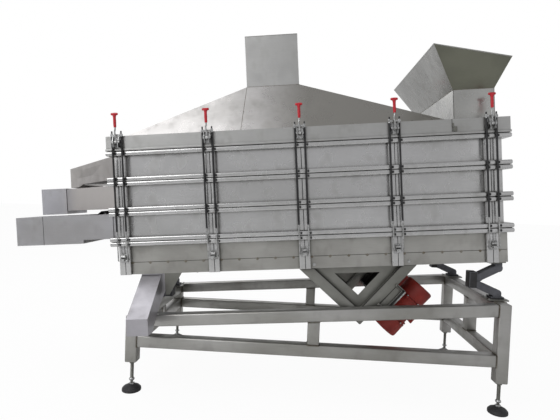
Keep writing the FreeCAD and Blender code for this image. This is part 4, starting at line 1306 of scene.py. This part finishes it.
class SCREEN_OT_outlets(bpy.types.Operator):
    """Makes the upper outlet from creased panels and the seamless front of the lower one"""
    bl_idname = "screen.outlets"
    bl_label = "Outlets"

    def execute(self, context):
        self.upper_outlet()
        self.lower_front()
        return {"FINISHED"}

    def upper_outlet(self):
        """A duct that narrows all the way to its end, where it is open below."""
        foot, top = UPPER_FOOT, UPPER_FOOT + DUCT_HEIGHT
        start, end, mouth = -WALL_LEFT, UPPER_END, UPPER_MOUTH
        near, far, half = UPPER_NEAR, UPPER_FAR, UPPER_FAR
        drop, low_top = foot - OUTLET_RISE, top - UPPER_FALL
        shape = Shape()
        at_mouth = -half + (near + half) / (end - start) * (mouth - start)
        corners = [(end, near, drop), (mouth, at_mouth, drop), (mouth, at_mouth, foot),
                   (start, -half, foot), (start, -half, top), (end, near, low_top)]
        self.creased_front(shape, [Vector(c) for c in corners])
        panel(shape, [(start, half, foot), (mouth, far, foot), (mouth, far, drop),
                      (end, far, drop), (end, far, low_top), (start, half, top)])
        panel(shape, [(end, far, drop), (end, near, drop), (end, near, low_top),
                      (end, far, low_top)])
        panel(shape, [(end, near, low_top), (start, -half, top), (start, half, top),
                      (end, far, low_top)])
        panel(shape, [(mouth, at_mouth, foot), (mouth, far, foot), (start, half, foot),
                      (start, -half, foot)])
        piece = shape.finish("tapered_upper_outlet", DECK, ["creased_stainless_duct"],
                             "chute_sheet")
        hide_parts("upper_chute")

    def creased_front(self, shape, corners):
        """The front panel, cross-broken into flat facets a few millimetres deep."""
        outward = (corners[1] - corners[0]).cross(corners[-1] - corners[0]).normalized()
        end_top, start_top = corners[5], corners[4]
        end_low, start_low = corners[0], corners[3]

        def spot(along, up, out):
            low = end_low.lerp(start_low, along)
            high = end_top.lerp(start_top, along)
            return low.lerp(high, up) + outward * out

        inner = [spot(0.16, 0.42, -5), spot(0.34, 0.78, 2), spot(0.5, 0.42, -7),
                 spot(0.74, 0.80, 3), spot(0.6, 0.32, -4)]
        ends, walls = (end_low, end_top), (start_low, start_top)
        faces = [(ends[0], inner[0], ends[1]), (ends[1], inner[0], inner[1]),
                 (ends[1], inner[1], inner[3], walls[1]), (inner[1], inner[0], inner[2]),
                 (inner[1], inner[2], inner[3]), (inner[3], inner[2], inner[4]),
                 (ends[0], inner[2], inner[0]), (ends[0], corners[1], inner[4], inner[2]),
                 (corners[1], corners[2], inner[4]), (corners[2], walls[0], inner[4]),
                 (walls[0], walls[1], inner[3], inner[4])]
        for face in faces:
            normal = (face[1] - face[0]).cross(face[2] - face[0])
            if normal.dot(outward) < 0:
                face = face[::-1]
            shape.skin([[c - outward * 9 for c in face], list(face)])

    def lower_front(self):
        """One sheet from the tray to the end, deeper where the sump hangs below it."""
        low, face = LOWER_FOOT - SUMP_DEEP, LOWER_FRONT
        shape = Shape()
        shape.plate([(LOWER_END, low), (SUMP_START, low), (SUMP_START, LOWER_FOOT),
                     (LOWER_START, LOWER_FOOT), (LOWER_START, LOWER_TOP),
                     (LOWER_END, LOWER_TOP)], "y", face - 1.2, face)
        shape.block((LOWER_END - 3, face - 1.6, low - 1), (LOWER_END, face - 0.1, LOWER_TOP + 1),
                    1)
        shape.finish("lower_outlet_front", DECK,
                     ["folded_stainless_chute", "dark_enamel_and_painted_shadow"], "chute_sheet")


class SCREEN_OT_outlet_flap(bpy.types.Operator):
    """Lays the crumpled strip of rubber between the middle and lower outlets"""
    bl_idname = "screen.outlet_flap"
    bl_label = "Outlet flap"

    def execute(self, context):
        steps = 18
        rings = []
        draw = random.Random(5)
        foot = LOWER_FOOT + DUCT_HEIGHT + 3
        for i in range(steps + 1):
            share = i / steps
            u = -1575 + share * 150
            hump = 24 * math.exp(-((share - 0.42) / 0.16) ** 2) + draw.uniform(0, 1.5)
            z = foot + hump
            rings.append([(u, -400, z), (u, -250 + 8 * share, z + 2),
                          (u, -250 + 8 * share, z + 5), (u, -400, z + 3)])
        shape = Shape()
        shape.skin(rings)
        shape.finish("outlet_flap", DECK, ["black_moulded_rubber"], "gasket_rubber",
                     smooth=60)
        return {"FINISHED"}


class SCREEN_OT_lid_seam(bpy.types.Operator):
    """Adds the lid's butt strap, its small stop bracket and the sheet's folded hems"""
    bl_idname = "screen.lid_seam"
    bl_label = "Lid seam and hems"

    def execute(self, context):
        shape = Shape()
        face = HALF_WIDTH + FLANGE_REACH
        for side, sign in SIDES:
            shape.side_block(sign, (STRAP_AT - 2, STRAP_AT + 1), (face + 0.2, face + 1.4),
                             (LID_FOOT + 18, LID_TOP - 1), 1)
            shape.side_block(sign, (STRAP_AT + 6, STRAP_AT + 30), (face + 0.2, face + 7),
                             (LID_FOOT + 20, LID_FOOT + 52), 0, 2)
            shape.side_block(sign, (STRAP_AT, STRAP_AT + 10), (face + 0.2, face + 7),
                             (LID_FOOT + 50, LID_FOOT + 74), 0, 2)
        half = CHIMNEY_HALF - 2
        rim = [(CHIMNEY_AT + a * half, b * half, HOOD_TOP + CHIMNEY_HEIGHT - 3)
               for a, b in ((-1, -1), (1, -1), (1, 1), (-1, 1))]
        for start, end in zip(rim, rim[1:] + rim[:1]):
            shape.pipe([start, end], 2.9, 10)
        shape.finish("lid_seam_and_hems", DECK, ["stainless_plate", "dark_enamel_and_painted_shadow"],
                     "lid_sheet")
        return {"FINISHED"}


# Studio

FOCAL_PIXELS = 430.8
PHOTO_WIDTH = 560
SENSOR_WIDTH = 36
CAMERA_PLACE = (0.3151, -3.3358, 1.3742)
CAMERA_YAW = -0.0513
CAMERA_PITCH = 0.0315
CAMERA_ROLL = 0.0385

# The room is brighter at the discharge end than at the feed end.
WORLD_LEFT = 0.84
WORLD_RIGHT = 0.5

# Each lamp's place and size in metres, and its power in watts. All look at the deck.
LAMPS = (("key", (-3.3, -4.0, 4.3), 3.0, 84), ("fill", (4.2, -4.4, 2.2), 3.0, 5),
         ("top", (-2.2, -0.8, 5.2), 2.6, 26), ("back", (-2.7, 5.0, 3.9), 3.0, 40))
LAMP_AIM = (0, 0, 1.2)
FLOOR_HALF = 30


class SCREEN_OT_stage(bpy.types.Operator):
    """Sets up the pale floor, the soft lamps, the world and the camera"""
    bl_idname = "screen.stage"
    bl_label = "Studio"

    def execute(self, context):
        self.floor()
        self.lamps()
        self.world(context.scene)
        self.camera(context.scene)
        context.scene.view_settings.view_transform = "Standard"
        return {"FINISHED"}

    def floor(self):
        mesh = bpy.data.meshes.new("studio_floor")
        half = FLOOR_HALF
        mesh.from_pydata([(-half, -half, 0), (half, -half, 0), (half, half, 0),
                          (-half, half, 0)], [], [(0, 1, 2, 3)])
        mesh.materials.append(FINISHES["studio_floor"])
        floor = bpy.data.objects.new("studio_floor", mesh)
        bpy.context.scene.collection.objects.link(floor)

    def lamps(self):
        for name, place, size, power in LAMPS:
            lamp = bpy.data.lights.new(name, "AREA")
            lamp.shape = "DISK"
            lamp.size = size
            lamp.energy = power
            holder = bpy.data.objects.new(name, lamp)
            bpy.context.scene.collection.objects.link(holder)
            aim = Vector(LAMP_AIM) - Vector(place)
            holder.location = place
            holder.rotation_euler = aim.to_track_quat("-Z", "Y").to_euler()

    def world(self, scene):
        world = bpy.data.worlds.new("studio")
        world.use_nodes = True
        tree = world.node_tree
        tree.nodes.clear()
        ray = add(tree, "ShaderNodeLightPath")
        way = add(tree, "ShaderNodeTexCoord")
        parts = add(tree, "ShaderNodeSeparateXYZ", {0: way.outputs["Generated"]})
        level = spread(tree, parts.outputs[0], WORLD_LEFT, WORLD_RIGHT, -0.8, 0.8)
        glow = add(tree, "ShaderNodeBackground", {"Color": paint("#F6F6F8"),
                                                  "Strength": level})
        white = add(tree, "ShaderNodeBackground", {"Color": (1, 1, 1, 1), "Strength": 1.0})
        seen = add(tree, "ShaderNodeMixShader", {0: ray.outputs["Is Camera Ray"],
                                                 1: glow.outputs[0], 2: white.outputs[0]})
        out = add(tree, "ShaderNodeOutputWorld")
        tree.links.new(seen.outputs[0], out.inputs[0])
        scene.world = world

    def camera(self, scene):
        data = bpy.data.cameras.new("photo_view")
        data.sensor_fit = "HORIZONTAL"
        data.sensor_width = SENSOR_WIDTH
        data.lens = FOCAL_PIXELS / PHOTO_WIDTH * SENSOR_WIDTH
        camera = bpy.data.objects.new("photo_view", data)
        scene.collection.objects.link(camera)
        level = Matrix(((1, 0, 0), (0, 0, -1), (0, 1, 0)))
        turn = Matrix.Rotation(CAMERA_ROLL, 3, "Z") @ Matrix.Rotation(CAMERA_PITCH, 3, "X")
        turn = turn @ Matrix.Rotation(-CAMERA_YAW, 3, "Y") @ level
        axes = Matrix((turn[0], -turn[1], -turn[2])).transposed()
        camera.matrix_world = Matrix.Translation(CAMERA_PLACE) @ axes.to_4x4()
        scene.camera = camera


class SCREEN_PT_panel(bpy.types.Panel):
    """Lists the screen's pieces, sizes and colours"""
    bl_label = "Vibrating screen"
    bl_idname = "SCREEN_PT_panel"
    bl_space_type = "VIEW_3D"
    bl_region_type = "UI"
    bl_category = "Vibrating screen"

    def draw(self, context):
        layout = self.layout
        for step in STEPS:
            layout.operator(step.bl_idname)
        for group in (context.scene.screen_sizes, context.scene.screen_colours):
            for name in group.__annotations__:
                layout.prop(group, name)


STEPS = (SCREEN_OT_finishes, SCREEN_OT_flanges, SCREEN_OT_frame, SCREEN_OT_mounts,
         SCREEN_OT_feet, SCREEN_OT_handles, SCREEN_OT_clamp_fittings, SCREEN_OT_bolts,
         SCREEN_OT_motors, SCREEN_OT_posts, SCREEN_OT_hopper, SCREEN_OT_outlets,
         SCREEN_OT_welds, SCREEN_OT_outlet_flap, SCREEN_OT_lid_seam,
         SCREEN_OT_stage)
CLASSES = (ScreenSizes, ScreenColours, *STEPS, SCREEN_PT_panel)


def register():
    for item in CLASSES:
        bpy.utils.register_class(item)
    bpy.types.Scene.screen_sizes = bpy.props.PointerProperty(type=ScreenSizes)
    bpy.types.Scene.screen_colours = bpy.props.PointerProperty(type=ScreenColours)


def unregister():
    del bpy.types.Scene.screen_colours
    del bpy.types.Scene.screen_sizes
    for item in reversed(CLASSES):
        bpy.utils.unregister_class(item)


def main():
    register()
    for step in STEPS:
        group, name = step.bl_idname.split(".")
        getattr(getattr(bpy.ops, group), name)()


if __name__ == "__main__":
    main()
